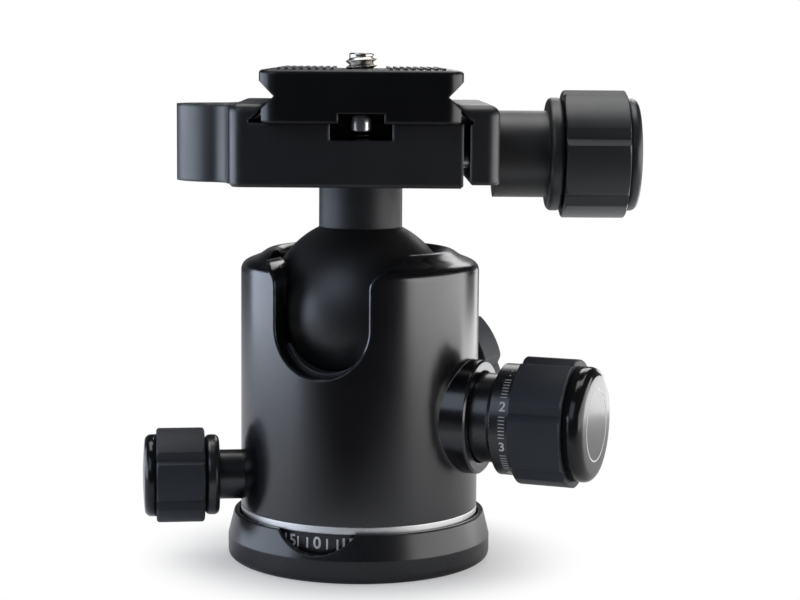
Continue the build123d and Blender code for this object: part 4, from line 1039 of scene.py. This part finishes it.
# %% [markdown]
# ### Friction dial
# The friction knob's collar is numbered, so that a setting can be found again. Numbers stand 42
# degrees apart, with short ticks between them. They are laid out round Z and then turned onto the
# knob's axis.

# %% Dial marks
DIAL_R = 11.2 * MM
DIAL_NUMBERS = 7
DIAL_STEP = 42
DIAL_PLACE = 34.35 * MM           # along the knob's axis
DIAL_START = -153.7               # where number 1 stands round the knob
DIAL_SIZE = 2.7 * MM
DIAL_TICK = (0.16 * MM, 1.3 * MM)
SMALL_TICKS = 8
TICKS_FROM, TICKS_SPAN = 0.16, 0.68       # shares of the step, which keep the ticks off the numbers

bm = bmesh.new()
for i in range(DIAL_NUMBERS):
    turn = radians(DIAL_START + i * DIAL_STEP)
    add_number(bm, str(i + 1), DIAL_SIZE, DIAL_R, turn, DIAL_PLACE, upright=False)
    for k in range(1, SMALL_TICKS):
        between = turn + radians(DIAL_STEP * (TICKS_FROM + TICKS_SPAN * k / SMALL_TICKS))
        add_tick(bm, *DIAL_TICK, DIAL_R, between, DIAL_PLACE)
piece("friction_dial_marks", bm, white_paint, "friction_knob", FRICTION_AXIS, smooth=False)

# %% [markdown]
# ## Knob caps
# The caps on the knobs are turned again, because a glossy face shows every flaw of a coarse mesh. A
# cap is a cylinder whose front edge is rolled over by a wide bevel. Its face is inset step by step,
# and the steps are lifted into a shallow dome. The friction knob's face is flat.

# %% Knob caps
CAP_STEPS = 5
CAP_DOME = 0.35 * MM


def turned_cap(name, axis, roll, dome, material, body):
    """Cap in the place of a solid cap. Returns how far out along the axis its face is."""
    start, direction = axis
    points = [Vector(v.co) - start for v in solids[name].data.vertices]
    foot, face_z = [f(p.dot(direction) for p in points) for f in (min, max)]
    radius = max(p.cross(direction).length for p in points)
    top = face_z - dome
    flat = radius - roll
    bm = bmesh.new()
    add_cylinder(bm, radius, foot, top)
    round_off(bm, edges_at(bm, top), roll, segments=8)
    face = max(bm.faces, key=lambda f: f.calc_center_median().z)
    for step in range(CAP_STEPS - 1):
        bmesh.ops.inset_region(bm, faces=[face], thickness=flat / CAP_STEPS)
    for v in bm.verts:
        if v.co.z > top - SAME_HEIGHT:
            v.co.z = face_z - dome * min(1, v.co.xy.length / flat) ** 2
    cap = piece(name + "_turned", closed(bm), material, body, axis)
    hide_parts(name)
    return face_z


turned_cap("pan_knob_cap", PAN_AXIS, 1.4 * MM, CAP_DOME, cap_gloss, "pan_knob")
turned_cap("lock_knob_cap", LOCK_AXIS, 1.9 * MM, CAP_DOME, cap_gloss, "lock_knob")
turned_cap("clamp_knob_cap", CLAMP_AXIS, 1.5 * MM, CAP_DOME, wiped_rubber, "clamp_knob")
cap_face = turned_cap("friction_knob_cap", FRICTION_AXIS, 1.9 * MM, 0, cap_gloss, "friction_knob")

# %% [markdown]
# A thin white line runs round the face of the friction knob's cap. It is an annulus, made by
# spinning its section once round.

# %% Cap ring
CAP_RING_R = 7.0 * MM
CAP_RING_WIDE = 0.34 * MM
CAP_RING_SUNK = 0.05 * MM         # how deep it goes into the cap


def flat_ring(radius, wide, low, high, steps):
    """New bmesh with a flat ring about Z."""
    bm = bmesh.new()
    outer = radius + wide
    corners, sides = add_outline(bm, [(radius, low), (outer, low), (outer, high), (radius, high)])
    bmesh.ops.spin(
        bm, geom=corners + sides, axis=UP, cent=(0, 0, 0), angle=2 * pi, steps=steps,
        use_merge=True,
    )
    return bm


bm = flat_ring(CAP_RING_R, CAP_RING_WIDE, cap_face - CAP_RING_SUNK, cap_face + PAINT, steps=96)
piece(
    "friction_cap_ring", closed(bm), white_paint, "friction_knob", FRICTION_AXIS,
    smooth=False,
)

# %% [markdown]
# ## Bubble
# The spirit level shows a bubble under a black ring. The bubble is a flattened sphere of air just
# under the vial's lid. It lies a little off the middle, as it does when the head isn't quite level.

# %% Bubble
LID = 1.2 * MM
BUBBLE_R = 1.7 * MM
BUBBLE_FLAT = 0.36                # its height, as a share of its width
UNDER_LID = 0.05 * MM
OFF_MIDDLE = Vector((0.3, -0.2, 0)) * MM

vial_low, vial_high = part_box("level_vial")
vial_top = Vector((*((vial_low + vial_high) / 2).xy, vial_high.z))
bubble_depth = LID + BUBBLE_R * BUBBLE_FLAT + UNDER_LID
bm = bmesh.new()
bmesh.ops.create_uvsphere(bm, u_segments=32, v_segments=16, radius=BUBBLE_R)
bmesh.ops.scale(bm, vec=(1, 1, BUBBLE_FLAT), verts=bm.verts)
bmesh.ops.translate(bm, verts=bm.verts, vec=vial_top + OFF_MIDDLE - UP * bubble_depth)
air = clear_finish("bubble_air", (0.97, 1.0, 0.90), 1.05, 1.0)
piece("level_bubble", closed(bm), air, "clamp")

# %% [markdown]
# The ring is printed on the lid in black, and the bubble is read against it.

# %% Level ring
LEVEL_RING_R = 2.3 * MM
LEVEL_RING_WIDE = 0.22 * MM

line_paint = finish(
    "line_paint", (0.01, 0.01, 0.01), (0.03, 0.03, 0.03), (0.4, 0.5), grain_size=0.1,
    grain_depth=0.002, edge=0.05,
)
bm = flat_ring(LEVEL_RING_R, LEVEL_RING_WIDE, 0, PAINT, steps=64)
bmesh.ops.translate(bm, verts=bm.verts, vec=vial_top)
piece("level_ring", closed(bm), line_paint, "clamp", smooth=False)
